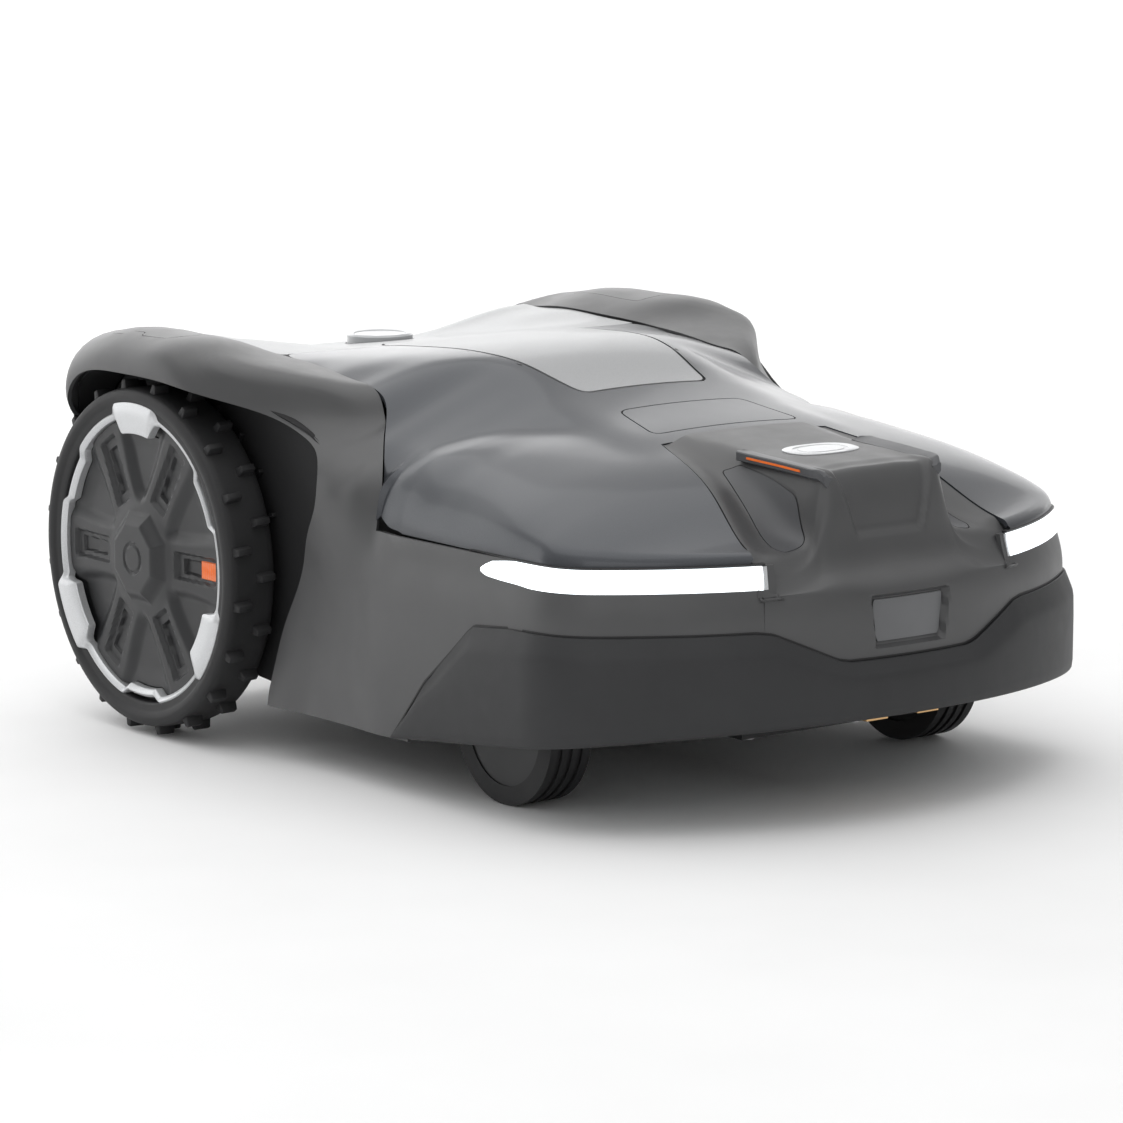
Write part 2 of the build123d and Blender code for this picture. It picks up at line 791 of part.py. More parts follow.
lug_step = 360 / lugs_per_row
tyre_right = join(
    turned(tyre_profile),
    lug_row(238, 253, 0),
    lug_row(257, 272, lug_step / 2),
)
with BuildPart() as ring_tabs:
    with BuildSketch(Plane.YZ.offset(271)):
        with Locations((wheel_y, wheel_radius)):
            with PolarLocations(107, 3, start_angle=90):
                Rectangle(18, 52)
    extrude(amount=2)
trim_ring_right = join(
    turned(ring_profile),
    common(ring_tabs.part, cross_cylinder(wheel_y, wheel_radius, rim_radius, 260, 280)),
)
reflector_right = box((268, wheel_y - 100, wheel_radius - 7), (274, wheel_y - 76, wheel_radius + 7))
cap_right = cut(turned(cap_profile), trim_ring_right, reflector_right)
axle_right = cross_cylinder(wheel_y, wheel_radius, axle_radius, 197, 262)
wheel_pieces = {
    "wheel_rim": turned(rim_profile),
    "tyre": tyre_right,
    "trim_ring": trim_ring_right,
    "hub_cap": cap_right,
    "reflector": reflector_right,
    "axle_shaft": axle_right,
}
for name, piece in wheel_pieces.items():
    save(piece, f"{name}_right")
    save(mirrored(piece), f"{name}_left")

# ---------------------------------------------------------------- casters

caster_axle_y = caster_stem_y + caster_trail
caster_inner_x = caster_centre_x - caster_width / 2
caster_outer_x = caster_centre_x + caster_width / 2
arm_outer_x = caster_inner_x - 1.5
arm_points = [
    (caster_axle_y - 10, caster_radius - 8), (caster_axle_y + 10, caster_radius - 8),
    (caster_axle_y + 10, caster_radius + 8), (caster_stem_y + 15, 112), (caster_stem_y + 15, 119),
    (caster_stem_y - 15, 119), (caster_stem_y - 15, 112), (caster_axle_y - 10, caster_radius + 8),
]
caster_arm_right = join(
    side_prism(arm_points, arm_outer_x - 9, arm_outer_x),
    cylinder((caster_stem_x, caster_stem_y), 14, 113, 119.5),
    cylinder((caster_stem_x, caster_stem_y), stem_radius, 119, 160),
    cross_cylinder(caster_axle_y, caster_radius, 5, arm_outer_x - 1, caster_outer_x - 4),
)
caster_hub_right = cut(
    join(cross_cylinder(caster_axle_y, caster_radius, 42, caster_inner_x + 3, caster_outer_x - 1),
         cross_cylinder(caster_axle_y, caster_radius, 12, caster_inner_x, caster_outer_x)),
    cross_cylinder(caster_axle_y, caster_radius, 5 + running_gap, 100, caster_outer_x - 3),
)
tread_cuts = [caster_inner_x + 7, caster_centre_x - 2, caster_outer_x - 11]
caster_tyre_right = cut(
    cross_cylinder(caster_axle_y, caster_radius, caster_radius, caster_inner_x, caster_outer_x),
    cross_cylinder(caster_axle_y, caster_radius, 42, 100, 250),
    *[cut(cross_cylinder(caster_axle_y, caster_radius, 60, x, x + 4),
          cross_cylinder(caster_axle_y, caster_radius, 54, x - 1, x + 5)) for x in tread_cuts],
)
caster_pieces = {
    "caster_arm": caster_arm_right,
    "caster_hub": caster_hub_right,
    "caster_tyre": caster_tyre_right,
}
for name, piece in caster_pieces.items():
    save(piece, f"{name}_right")
    save(mirrored(piece), f"{name}_left")
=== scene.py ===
"""Robotic lawn mower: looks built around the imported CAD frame.

Shapes are in millimetres until their meshes are made.
"""

import json
import math
import bmesh
import bpy
import numpy as np
from mathutils import Matrix, Vector


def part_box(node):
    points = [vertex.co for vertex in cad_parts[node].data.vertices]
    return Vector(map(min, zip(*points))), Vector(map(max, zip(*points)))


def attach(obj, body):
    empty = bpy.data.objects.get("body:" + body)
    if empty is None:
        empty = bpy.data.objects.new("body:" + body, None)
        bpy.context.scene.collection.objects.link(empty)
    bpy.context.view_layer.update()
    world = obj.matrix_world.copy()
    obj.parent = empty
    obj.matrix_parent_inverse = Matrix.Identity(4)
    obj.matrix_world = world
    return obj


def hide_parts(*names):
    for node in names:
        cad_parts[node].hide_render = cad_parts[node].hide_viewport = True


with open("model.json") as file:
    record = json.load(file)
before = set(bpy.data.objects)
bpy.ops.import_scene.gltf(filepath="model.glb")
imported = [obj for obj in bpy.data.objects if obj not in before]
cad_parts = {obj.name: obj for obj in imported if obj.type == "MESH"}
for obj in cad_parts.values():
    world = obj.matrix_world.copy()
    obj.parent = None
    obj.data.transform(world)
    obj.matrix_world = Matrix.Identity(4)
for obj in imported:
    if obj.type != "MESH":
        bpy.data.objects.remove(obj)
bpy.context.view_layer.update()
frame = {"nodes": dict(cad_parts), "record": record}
nodes = frame["nodes"]
MM = 0.001


def placed(name, data):
    """New object in the scene."""
    made = bpy.data.objects.new(name, data)
    bpy.context.scene.collection.objects.link(made)
    return made


# ---------------------------------------------------------------- camera and lights

CAMERA_PLACE = (-2.0921, -2.6654, 0.6970)
CAMERA_YAW = 37.63
CAMERA_PITCH = -9.40
CAMERA_ROLL = -0.22
CAMERA_LENS = 143.98

camera_data = bpy.data.cameras.new("camera")
camera = placed("camera", camera_data)
camera_data.lens = CAMERA_LENS
camera_data.sensor_width = 36
camera_data.clip_end = 50
camera.location = CAMERA_PLACE
camera.rotation_mode = "QUATERNION"
camera.rotation_quaternion = (
    Matrix.Rotation(math.radians(-CAMERA_YAW), 3, "Z")
    @ Matrix.Rotation(math.radians(90 + CAMERA_PITCH), 3, "X")
    @ Matrix.Rotation(math.radians(CAMERA_ROLL), 3, "Z")
).to_quaternion()
bpy.context.scene.camera = camera


def area_light(name, place, target, size, power, color=(1, 1, 1)):
    """Soft rectangular light aimed at a target."""
    data = bpy.data.lights.new(name, "AREA")
    data.shape = "RECTANGLE"
    data.size, data.size_y = size
    data.energy = power
    data.color = color
    light = placed(name, data)
    light.location = place
    light.rotation_euler = (Vector(target) - Vector(place)).to_track_quat("-Z", "Y").to_euler()


area_light("key_top", (-0.3, 0.6, 3.4), (0, 0.05, 0.2), (5.0, 4.4), 52)
area_light("fill_front", (-2.4, -2.8, 1.6), (0, 0, 0.15), (2.4, 1.8), 10)
area_light("rim_back", (0.6, 3.0, 1.3), (0, 0, 0.25), (3.4, 1.4), 9)

world = bpy.data.worlds.new("studio")
bpy.context.scene.world = world
world.use_nodes = True
sky = world.node_tree.nodes["Background"]
sky_place = world.node_tree.nodes.new("ShaderNodeTexCoord")
sky_split = world.node_tree.nodes.new("ShaderNodeSeparateXYZ")
sky_ramp = world.node_tree.nodes.new("ShaderNodeValToRGB")
world.node_tree.links.new(sky_place.outputs["Generated"], sky_split.inputs["Vector"])
world.node_tree.links.new(sky_split.outputs["Z"], sky_ramp.inputs["Fac"])
world.node_tree.links.new(sky_ramp.outputs["Color"], sky.inputs["Color"])
sky_ramp.color_ramp.elements[0].position = 0.0
sky_ramp.color_ramp.elements[0].color = (0.24, 0.24, 0.24, 1)
sky_ramp.color_ramp.elements[1].position = 0.9
sky_ramp.color_ramp.elements[1].color = (0.85, 0.85, 0.85, 1)
sky.inputs["Strength"].default_value = 1.1
bpy.context.scene.view_settings.view_transform = "Standard"

# ---------------------------------------------------------------- materials


def new_material(name):
    """Empty principled material and its nodes."""
    made = bpy.data.materials.new(name)
    made.use_nodes = True
    return made, made.node_tree, made.node_tree.nodes["Principled BSDF"]


def set_inputs(shader, **values):
    """Constant values on the shader's own sockets."""
    for key, value in values.items():
        shader.inputs[key.replace("_", " ")].default_value = value


def noise(tree, scale, detail=3, roughness=0.55):
    """Noise over the object's own coordinates."""
    where = tree.nodes.new("ShaderNodeTexCoord")
    made = tree.nodes.new("ShaderNodeTexNoise")
    made.inputs["Scale"].default_value = scale
    made.inputs["Detail"].default_value = detail
    made.inputs["Roughness"].default_value = roughness
    tree.links.new(where.outputs["Object"], made.inputs["Vector"])
    return made


def ramp(tree, source, low, high, start=0.3, end=0.7):
    """Colour or grey ramp from low to high over source."""
    made = tree.nodes.new("ShaderNodeValToRGB")
    made.color_ramp.elements[0].position = start
    made.color_ramp.elements[1].position = end
    made.color_ramp.elements[0].color = (*low, 1)
    made.color_ramp.elements[1].color = (*high, 1)
    tree.links.new(source, made.inputs["Fac"])
    return made


def tinted(tree, shader, source, color, vary, *span):
    """Base colour that drifts by a share of itself over source."""
    low = [c * (1 - vary) for c in color]
    high = [min(1, c * (1 + vary)) for c in color]
    tint = ramp(tree, source, low, high, *span)
    tree.links.new(tint.outputs["Color"], shader.inputs["Base Color"])


def roughened(tree, shader, source, low, high):
    """Roughness between low and high over source."""
    rough = tree.nodes.new("ShaderNodeMapRange")
    rough.inputs["To Min"].default_value = low
    rough.inputs["To Max"].default_value = high
    tree.links.new(source, rough.inputs["Value"])
    tree.links.new(rough.outputs["Result"], shader.inputs["Roughness"])


def plastic(name, color, roughness=0.5, grain=900, depth=0.12, vary=0.08, **more):
    """Moulded plastic or rubber: fine grain bump, slight colour drift and uneven roughness."""
    made, tree, shader = new_material(name)
    set_inputs(shader, Metallic=0.0, **more)
    tinted(tree, shader, noise(tree, 14).outputs["Fac"], color, vary)
    roughened(tree, shader, noise(tree, 60).outputs["Fac"], roughness - 0.05, roughness + 0.05)
    fine = noise(tree, grain, 2)
    bump = tree.nodes.new("ShaderNodeBump")
    bump.inputs["Strength"].default_value = depth
    bump.inputs["Distance"].default_value = 0.0002
    tree.links.new(fine.outputs["Fac"], bump.inputs["Height"])
    tree.links.new(bump.outputs["Normal"], shader.inputs["Normal"])
    return made


def lacquer(name, color, metallic, roughness, coat, flake=2600, vary=0.1, coat_roughness=0.1):
    """Metallic lacquer: flakes in the base colour under a smooth clear coat."""
    made, tree, shader = new_material(name)
    set_inputs(shader, Metallic=metallic, Coat_Weight=coat, Coat_Roughness=coat_roughness)
    tinted(tree, shader, noise(tree, flake, 1).outputs["Fac"], color, vary, 0.4, 0.6)
    roughened(tree, shader, noise(tree, 30).outputs["Fac"], roughness - 0.02, roughness + 0.03)
    return made


def metal(name, color, roughness, scratch=300):
    """Turned or brushed metal with uneven roughness."""
    made, tree, shader = new_material(name)
    set_inputs(shader, Metallic=1.0)
    marks = noise(tree, scratch, 4)
    tint = ramp(tree, marks.outputs["Fac"], [c * 0.85 for c in color], color)
    tree.links.new(tint.outputs["Color"], shader.inputs["Base Color"])
    roughened(tree, shader, marks.outputs["Fac"], roughness - 0.06, roughness + 0.08)
    return made


def lamp(name):
    """Diffusing lamp lens that glows white, a little blue where the glow is weak."""
    made, tree, shader = new_material(name)
    set_inputs(shader, Roughness=0.15, Coat_Weight=0.6, Base_Color=(0.8, 0.86, 0.92, 1))
    patches = noise(tree, 25, 1)
    glow = ramp(tree, patches.outputs["Fac"], (0.86, 0.95, 1.0), (1.0, 1.0, 1.0))
    tree.links.new(glow.outputs["Color"], shader.inputs["Emission Color"])
    shader.inputs["Emission Strength"].default_value = 1.6
    return made


SHELL_GREY = (0.060, 0.0605, 0.062)
materials = {
    "shell_plastic": plastic("shell_plastic", SHELL_GREY, 0.42, 1100, 0.10, Specular_IOR_Level=0.62),
    "cover_gloss": lacquer("cover_gloss", (0.055, 0.059, 0.067), 0.4, 0.33, 0.32),
    "hatch_satin": lacquer("hatch_satin", (0.36, 0.364, 0.37), 0.4, 0.45, 0.15),
    "nose_trim": plastic("nose_trim", (0.07, 0.072, 0.077), 0.42, 1300, 0.08),
    "accent_orange": plastic("accent_orange", (0.95, 0.17, 0.01), 0.3, 700, 0.02, Coat_Weight=0.5),
    "sensor_plastic": plastic("sensor_plastic", (0.13, 0.133, 0.138), 0.35, 1000, 0.05),
    "bumper_rubber": plastic("bumper_rubber", (0.020, 0.0205, 0.022), 0.55, 800, 0.18),
    "lamp_lens": lamp("lamp_lens"),
    "circuit_board": plastic("circuit_board", (0.02, 0.13, 0.05), 0.35, 300, 0.05),
    "stop_button": plastic("stop_button", (0.45, 0.46, 0.47), 0.3, 700, 0.03, Coat_Weight=0.4),
    "keypad_black": plastic("keypad_black", (0.012, 0.012, 0.013), 0.5, 700, 0.1),
    "chassis_plastic": plastic("chassis_plastic", (0.014, 0.015, 0.016), 0.55, 500, 0.25),
    "battery_wrap": plastic("battery_wrap", (0.02, 0.04, 0.14), 0.35, 200, 0.1),
    "gearbox_grey": metal("gearbox_grey", (0.42, 0.43, 0.45), 0.5, 400),
    "steel": metal("steel", (0.55, 0.55, 0.57), 0.3),
    "blade_steel": metal("blade_steel", (0.6, 0.6, 0.62), 0.25),
    "disc_plastic": plastic("disc_plastic", (0.03, 0.03, 0.032), 0.5, 600, 0.15),
    "contact_copper": metal("contact_copper", (0.7, 0.45, 0.22), 0.3),
    "wheel_plastic": plastic("wheel_plastic", (0.022, 0.0225, 0.024), 0.42, 1000, 0.08),
    "tyre_rubber": plastic("tyre_rubber", (0.016, 0.016, 0.017), 0.62, 500, 0.3, 0.15),
    "trim_silver": lacquer("trim_silver", (0.62, 0.63, 0.64), 0.6, 0.38, 0.2),
    "liner_black": plastic("liner_black", (0.008, 0.008, 0.009), 0.7, 400, 0.2),
}
node_slots = {entry["node"]: entry["material_slot"] for entry in frame["record"]["subparts"]}
for name, node in nodes.items():
    node.data.materials.clear()
    node.data.materials.append(materials[node_slots[name]])


def sheet(name, corners, scale, detail, low, high, socket, **values):
    """Flat sheet of the stage with a faint drift of grey on one of its sockets."""
    made, tree, shader = new_material(name + "_paper")
    tint = ramp(tree, noise(tree, scale, detail).outputs["Fac"], (low,) * 3, (high,) * 3)
    tree.links.new(tint.outputs["Color"], shader.inputs[socket])
    set_inputs(shader, **values)
    mesh = bpy.data.meshes.new(name)
    mesh.from_pydata(corners, [], [(0, 1, 2, 3)])
    mesh.materials.append(made)
    placed(name, mesh)


sheet("floor", [(-15, -15, 0), (15, -15, 0), (15, 15, 0), (-15, 15, 0)], 3, 3, 0.86, 0.9, "Base Color",
      Roughness=0.85)
sheet("backdrop", [(-6, 5, -0.1), (9, 3, -0.1), (9, 3, 3.2), (-6, 5, 3.2)], 0.5, 0, 0.97, 1, "Emission Color",
      Emission_Strength=1.05, Base_Color=(0.8, 0.8, 0.8, 1), Roughness=0.9)

# ---------------------------------------------------------------- shape tools


def spline(at, values, queries):
    """Natural cubic spline through values (n, ...) at the parameters at, read at queries."""
    at = np.asarray(at, float)
    values = np.asarray(values, float)
    flat = values.reshape(len(at), -1)
    count = len(at)
    step = np.diff(at)
    matrix = np.eye(count)
    right = np.zeros_like(flat)
    for i in range(1, count - 1):
        matrix[i, i - 1 : i + 2] = [step[i - 1], 2 * (step[i - 1] + step[i]), step[i]]
        slope = (flat[i + 1] - flat[i]) / step[i] - (flat[i] - flat[i - 1]) / step[i - 1]
        right[i] = 6 * slope
    bend = np.linalg.solve(matrix, right)
    queries = np.asarray(queries, float)
    cell = np.clip(np.searchsorted(at, queries) - 1, 0, count - 2)
    h = step[cell][:, None]
    a = (at[cell + 1] - queries)[:, None] / h
    b = (queries - at[cell])[:, None] / h
    curve = a * flat[cell] + b * flat[cell + 1]
    curve += ((a**3 - a) * bend[cell] + (b**3 - b) * bend[cell + 1]) * h * h / 6
    return curve.reshape((len(queries),) + values.shape[1:])


def subdivided(at, per_cell):
    """Parameters at and per_cell - 1 more between each two."""
    parts = [np.linspace(a, b, per_cell, endpoint=False) for a, b in zip(at[:-1], at[1:])]
    return np.append(np.concatenate(parts), at[-1])


def surface(net, columns_at, rows_at, per_column, per_row):
    """Smooth grid through a net of control points [column][row]."""
    net = np.asarray(net, float)
    columns = spline(columns_at, net, subdivided(columns_at, per_column))
    rows = spline(rows_at, np.swapaxes(columns, 0, 1), subdivided(rows_at, per_row))
    return np.swapaxes(rows, 0, 1)


def grid_mesh(name, grid, closed=False):
    """Object from a grid of points in millimetres."""
    columns, rows = grid.shape[:2]
    points = (grid.reshape(-1, 3) * MM).tolist()
    faces = []
    for c in range(columns if closed else columns - 1):
        d = (c + 1) % columns
        for r in range(rows - 1):
            faces.append((c * rows + r, d * rows + r, d * rows + r + 1, c * rows + r + 1))
    return made_object(name, points, faces)


def made_object(name, points, faces):
    """Mesh object from points in metres."""
    mesh = bpy.data.meshes.new(name)
    mesh.from_pydata([tuple(p) for p in points], [], faces)
    mesh.update()
    return placed(name, mesh)


def baked(piece):
    """Apply a piece's modifiers."""
    bpy.context.view_layer.update()
    final = bpy.data.meshes.new_from_object(piece.evaluated_get(bpy.context.evaluated_depsgraph_get()))
    piece.modifiers.clear()
    old = piece.data
    piece.data = final
    bpy.data.meshes.remove(old)
    return piece


def thick(piece, thickness, offset=-1.0):
    """Give a skin its wall thickness, in millimetres."""
    modifier = piece.modifiers.new("wall", "SOLIDIFY")
    modifier.thickness = thickness * MM
    modifier.offset = offset
    modifier.use_quality_normals = True
    return baked(piece)


def boolean(piece, tool, operation):
    """Boolean with a tool, which is removed."""
    modifier = piece.modifiers.new("boolean", "BOOLEAN")
    modifier.operation = operation
    modifier.solver = "EXACT"
    modifier.object = tool
    baked(piece)
    bpy.data.objects.remove(tool)
    return piece


def cut(piece, *tools):
    """A piece with tools cut away."""
    for tool in tools:
        boolean(piece, tool, "DIFFERENCE")
    return piece


def keep(piece, tool):
    """What a piece shares with a tool."""
    return boolean(piece, tool, "INTERSECT")


def copy_of(piece, name):
    """A second object with its own copy of the mesh."""
    made = placed(name, piece.data.copy())
    made.matrix_world = piece.matrix_world
    return made


def rounded(points, radius, steps=5):
    """A closed outline with its corners rounded by up to radius."""
    points = [Vector(p).to_2d() for p in points]
    result = []
    for i, corner in enumerate(points):
        before = points[i - 1] - corner
        after = points[(i + 1) % len(points)] - corner
        reach = min(radius, before.length * 0.45, after.length * 0.45)
        start = corner + before.normalized() * reach
        end = corner + after.normalized() * reach
        for k in range(steps + 1):
            t = k / steps
            result.append(start * (1 - t) ** 2 + corner * 2 * t * (1 - t) + end * t * t)
    return result


def prism(outline, low, high, axis="Z"):
    """Prism on a closed outline, along X, Y or Z, in millimetres."""
    places = {"Z": lambda a, b, c: (a, b, c), "X": lambda a, b, c: (c, a, b), "Y": lambda a, b, c: (a, c, b)}
    count = len(outline)
    points = [Vector(places[axis](p[0], p[1], level)) * MM for level in (low, high) for p in outline]
    faces = [tuple(reversed(range(count))), tuple(range(count, 2 * count))]
    faces += [(i, (i + 1) % count, count + (i + 1) % count, count + i) for i in range(count)]
    return fix_normals(made_object("tool", points, faces))


def edited(piece, change):
    """A piece after a change made to its mesh in place."""
    work = bmesh.new()
    work.from_mesh(piece.data)
    change(work)
    work.to_mesh(piece.data)
    work.free()
    return piece


def fix_normals(piece):
    """Turn all faces outwards."""
    return edited(piece, lambda work: bmesh.ops.recalc_face_normals(work, faces=work.faces))


def mirror_outline(right):
    """Close a half outline by its mirror image."""
    return list(right) + [(-x, y) for x, y in reversed(right)]


def both_sides(piece):
    """Join a right-hand piece with its mirror image."""

    def add_mirror_image(work):
        copied = bmesh.ops.duplicate(work, geom=work.verts[:] + work.edges[:] + work.faces[:])
        moved = [g for g in copied["geom"] if isinstance(g, bmesh.types.BMVert)]
        turned = [g for g in copied["geom"] if isinstance(g, bmesh.types.BMFace)]
        for vertex in moved:
            vertex.co.x = -vertex.co.x
        bmesh.ops.reverse_faces(work, faces=turned)
        bmesh.ops.remove_doubles(work, verts=work.verts, dist=0.00002)

    return edited(piece, add_mirror_image)


def mirrored(piece, name):
    """The mirror image of a piece as a new piece."""
    made = copy_of(piece, name)
    made.data.transform(Matrix.Scale(-1, 4, (1, 0, 0)))
    made.data.flip_normals()
    return made


def joined(name, pieces):
    """One object from several."""
    work = bmesh.new()
    for piece in pieces:
        work.from_mesh(piece.data)
        bpy.data.objects.remove(piece)
    mesh = bpy.data.meshes.new(name)
    work.to_mesh(mesh)
    work.free()
    return placed(name, mesh)


def bevelled(piece, width, segments=2, angle=30):
    """Round a piece's sharp edges."""
    modifier = piece.modifiers.new("bevel", "BEVEL")
    modifier.width = width * MM
    modifier.segments = segments
    modifier.limit_method = "ANGLE"
    modifier.angle_limit = math.radians(angle)
    modifier.harden_normals = False
    return baked(piece)


def finish_piece(piece, slot, body, replaces=(), angle=32):
    """Shade, paint and place a finished piece."""
    for face in piece.data.polygons:
        face.use_smooth = True
    piece.data.set_sharp_from_angle(angle=math.radians(angle))
    piece.data.materials.clear()
    piece.data.materials.append(materials[slot])
    if replaces:
        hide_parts(*replaces)
    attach(piece, body)
    return piece


def close_ends(piece):
    """Merge doubles, cap open ends and turn faces outwards."""

    def close(work):
        bmesh.ops.remove_doubles(work, verts=work.verts, dist=0.00001)
        bmesh.ops.holes_fill(work, edges=[e for e in work.edges if e.is_boundary], sides=0)
        bmesh.ops.recalc_face_normals(work, faces=work.faces)

    return edited(piece, close)


# ---------------------------------------------------------------- plan outline of the bumper's face

FRONT_RADIUS = 354.9
FRONT_CENTRE_Y = -10.1
CORNER_RADIUS = 70
SIDE_X = 252


def plan_curve():
    """Dense outline of the bumper's face from the nose to the side, and its outward normals."""
    corner_x = SIDE_X - CORNER_RADIUS
    corner_y = FRONT_CENTRE_Y - math.sqrt((FRONT_RADIUS - CORNER_RADIUS) ** 2 - corner_x**2)
    meet = math.atan2(corner_x, FRONT_CENTRE_Y - corner_y)
    points = []
    for angle in np.linspace(0, meet, 60, endpoint=False):
        points.append((FRONT_RADIUS * math.sin(angle), FRONT_CENTRE_Y - FRONT_RADIUS * math.cos(angle)))
    for angle in np.linspace(meet, math.pi / 2, 40, endpoint=False):
        points.append((corner_x + CORNER_RADIUS * math.sin(angle),
                       corner_y - CORNER_RADIUS * math.cos(angle)))
    for y in np.linspace(corner_y, -60, 40):
        points.append((SIDE_X - 4.2 * max(0, (y + 200) / 140) ** 1.5, y))
    points = np.array(points)
    tangent = np.gradient(points, axis=0)
    tangent /= np.linalg.norm(tangent, axis=1)[:, None]
    length = np.append(0, np.cumsum(np.linalg.norm(np.diff(points, axis=0), axis=1)))
    return points, np.stack([tangent[:, 1], -tangent[:, 0]], axis=1), length


PLAN_POINTS, PLAN_NORMALS, PLAN_LENGTH = plan_curve()


def on_plan(s, inset=0.0):
    """Point at arc length s along the outline, set in by inset."""
    place = [np.interp(s, PLAN_LENGTH, PLAN_POINTS[:, k]) for k in (0, 1)]
    out = [np.interp(s, PLAN_LENGTH, PLAN_NORMALS[:, k]) for k in (0, 1)]
    return place[0] - out[0] * inset, place[1] - out[1] * inset


def tail_share(x, y):
    """How far a place on the outline belongs to the bumper's tapering tail, from zero to one."""
    return np.clip((y + 230) / 160, 0, 1) if x > 240 else 0


def band(name, stations, profile):
    """Closed band along the outline with one section of (inset, z) points."""
    line = [*profile, profile[0]]
    grid = [[(*on_plan(s, inset), z) for inset, z in line] for s in stations]
    return close_ends(grid_mesh(name, np.array(grid)))


def plan_length_at(x=None, y=None):
    """Arc length at which the outline reaches x on the front, or y on the side."""
    if x is not None:
        return float(np.interp(x, PLAN_POINTS[:60, 0], PLAN_LENGTH[:60]))
    return float(np.interp(y, PLAN_POINTS[:, 1], PLAN_LENGTH))


# ---------------------------------------------------------------- body shell: front band, side and fender

LEVELS = [41, 75, 110, 135, 150, 162, 174, 188]
FRONT_INSETS = [10, 10, 10, 9, 9, 11, 14.5, 18]
TAIL_INSETS = [3, 4.5, 6, 7, 7.5, 8.5, 10, 12]

# The nearly upright side beside the wheels: x at the eight levels
UPRIGHT = [248, 244, 241, 239, 239, 239, 240, 242]
# Sections behind the bumper: y, then x at the eight levels, then (x, z) up to the seam with the cover
SIDE_SECTIONS = [
    (-50, [247, 244.5, 242, 240, 239, 238, 237, 234.5],
     [(230, 196), (225, 203), (218, 212), (208, 222), (196, 232), (180, 238)]),
    (-34, [246, 244, 241, 239, 238, 237, 235.5, 233],
     [(231, 197), (227, 207), (221, 217), (213, 226), (203, 235), (190, 243)]),
    (-15, [245, 242, 239, 237, 237, 237.5, 238, 239],
     [(238, 202), (235, 215), (227, 226), (215, 234), (201, 242), (182, 252)]),
    (0, [244.5, 241.5, 238.5, 237, 237.5, 239, 240, 241.5],
     [(241, 202), (238, 215), (229, 227), (214, 237), (197, 247), (177, 256)]),
    (15, [244.5, 241, 238, 237, 238, 239.5, 241, 242.5],
     [(243, 204), (240, 218), (229, 231), (209, 243), (190, 252), (172, 260)]),
    (28, [245, 241, 238, 237, 238, 239.5, 241, 242.5],
     [(244, 205), (241, 220), (229, 234), (206, 247), (182, 258), (172, 271)]),
    (42, [245, 241, 238, 237, 237.5, 239, 240.5, 242],
     [(245, 206), (242.5, 223), (229, 238), (205, 253), (191, 268), (172, 279)]),
    (68, [247.5, 243, 240, 238, 238, 238.5, 240, 242],
     [(247, 210), (246, 230), (234, 246), (218, 263), (209, 281), (172, 282)]),
    (100, UPRIGHT,
     [(252, 216), (255, 238), (249, 252), (242, 268), (232, 288), (172, 286)]),
    (140, UPRIGHT,
     [(256, 222), (267, 246), (270.5, 264), (266, 283), (250, 298), (174, 290.5)]),
    (176, UPRIGHT,
     [(256, 222), (272, 254), (277, 279.5), (269, 298.5), (228, 306.5), (176, 293)]),
    (230, UPRIGHT,
     [(256, 222), (272, 254), (278, 280), (269.5, 299), (229, 308.6), (174, 296)]),
    (285, UPRIGHT,
     [(256, 222), (271, 252), (277, 278), (268, 296.5), (230, 308.2), (172, 297)]),
    (320, UPRIGHT,
     [(255, 222), (268, 248), (273, 268), (265, 288), (229, 302.5), (172, 295)]),
    (340, [247, 243, 240, 238, 238, 238, 239, 241],
     [(250, 218), (259, 236), (264, 252), (256, 273), (224, 290), (172, 288)]),
    (350, [246, 242, 239, 237, 236, 236, 236, 237],
     [(243, 215), (247, 228), (250, 240), (244, 254), (217, 268), (172, 270)]),
]
ROWS_AT = [0, 34, 69, 94, 109, 121, 133, 148, 165, 184, 204, 228, 262, 300]


def front_column(s):
    """Section of the front band at arc length s, with a hidden stretch up under the cover."""
    tail = tail_share(*on_plan(s))
    column = []
    for level, front, rear in zip(LEVELS, FRONT_INSETS, TAIL_INSETS):
        column.append((*on_plan(s, front * (1 - tail) + rear * tail), level))
    for k, z in enumerate((200, 212, 224, 234, 240, 243)):
        column.append((*on_plan(s, 22 + 7 * k), z))
    return column


def body_net():
    """Control net of the body shell's outside and its column parameters."""
    stations = [plan_length_at(x=x) for x in (112, 150, 190)]
    first_side = plan_length_at(y=-229)
    stations += list(np.linspace(stations[-1], first_side, 5)[1:])
    stations += [plan_length_at(y=y) for y in (-190, -150, -110, -75)]
    net = [front_column(s) for s in stations]
    for y, xs, upper in SIDE_SECTIONS:
        net.append([(x, y, z) for x, z in [*zip(xs, LEVELS), *upper]])
    return net, stations + [stations[-1] + (y + 75) for y, _, _ in SIDE_SECTIONS]


BODY_PER_ROW = 4


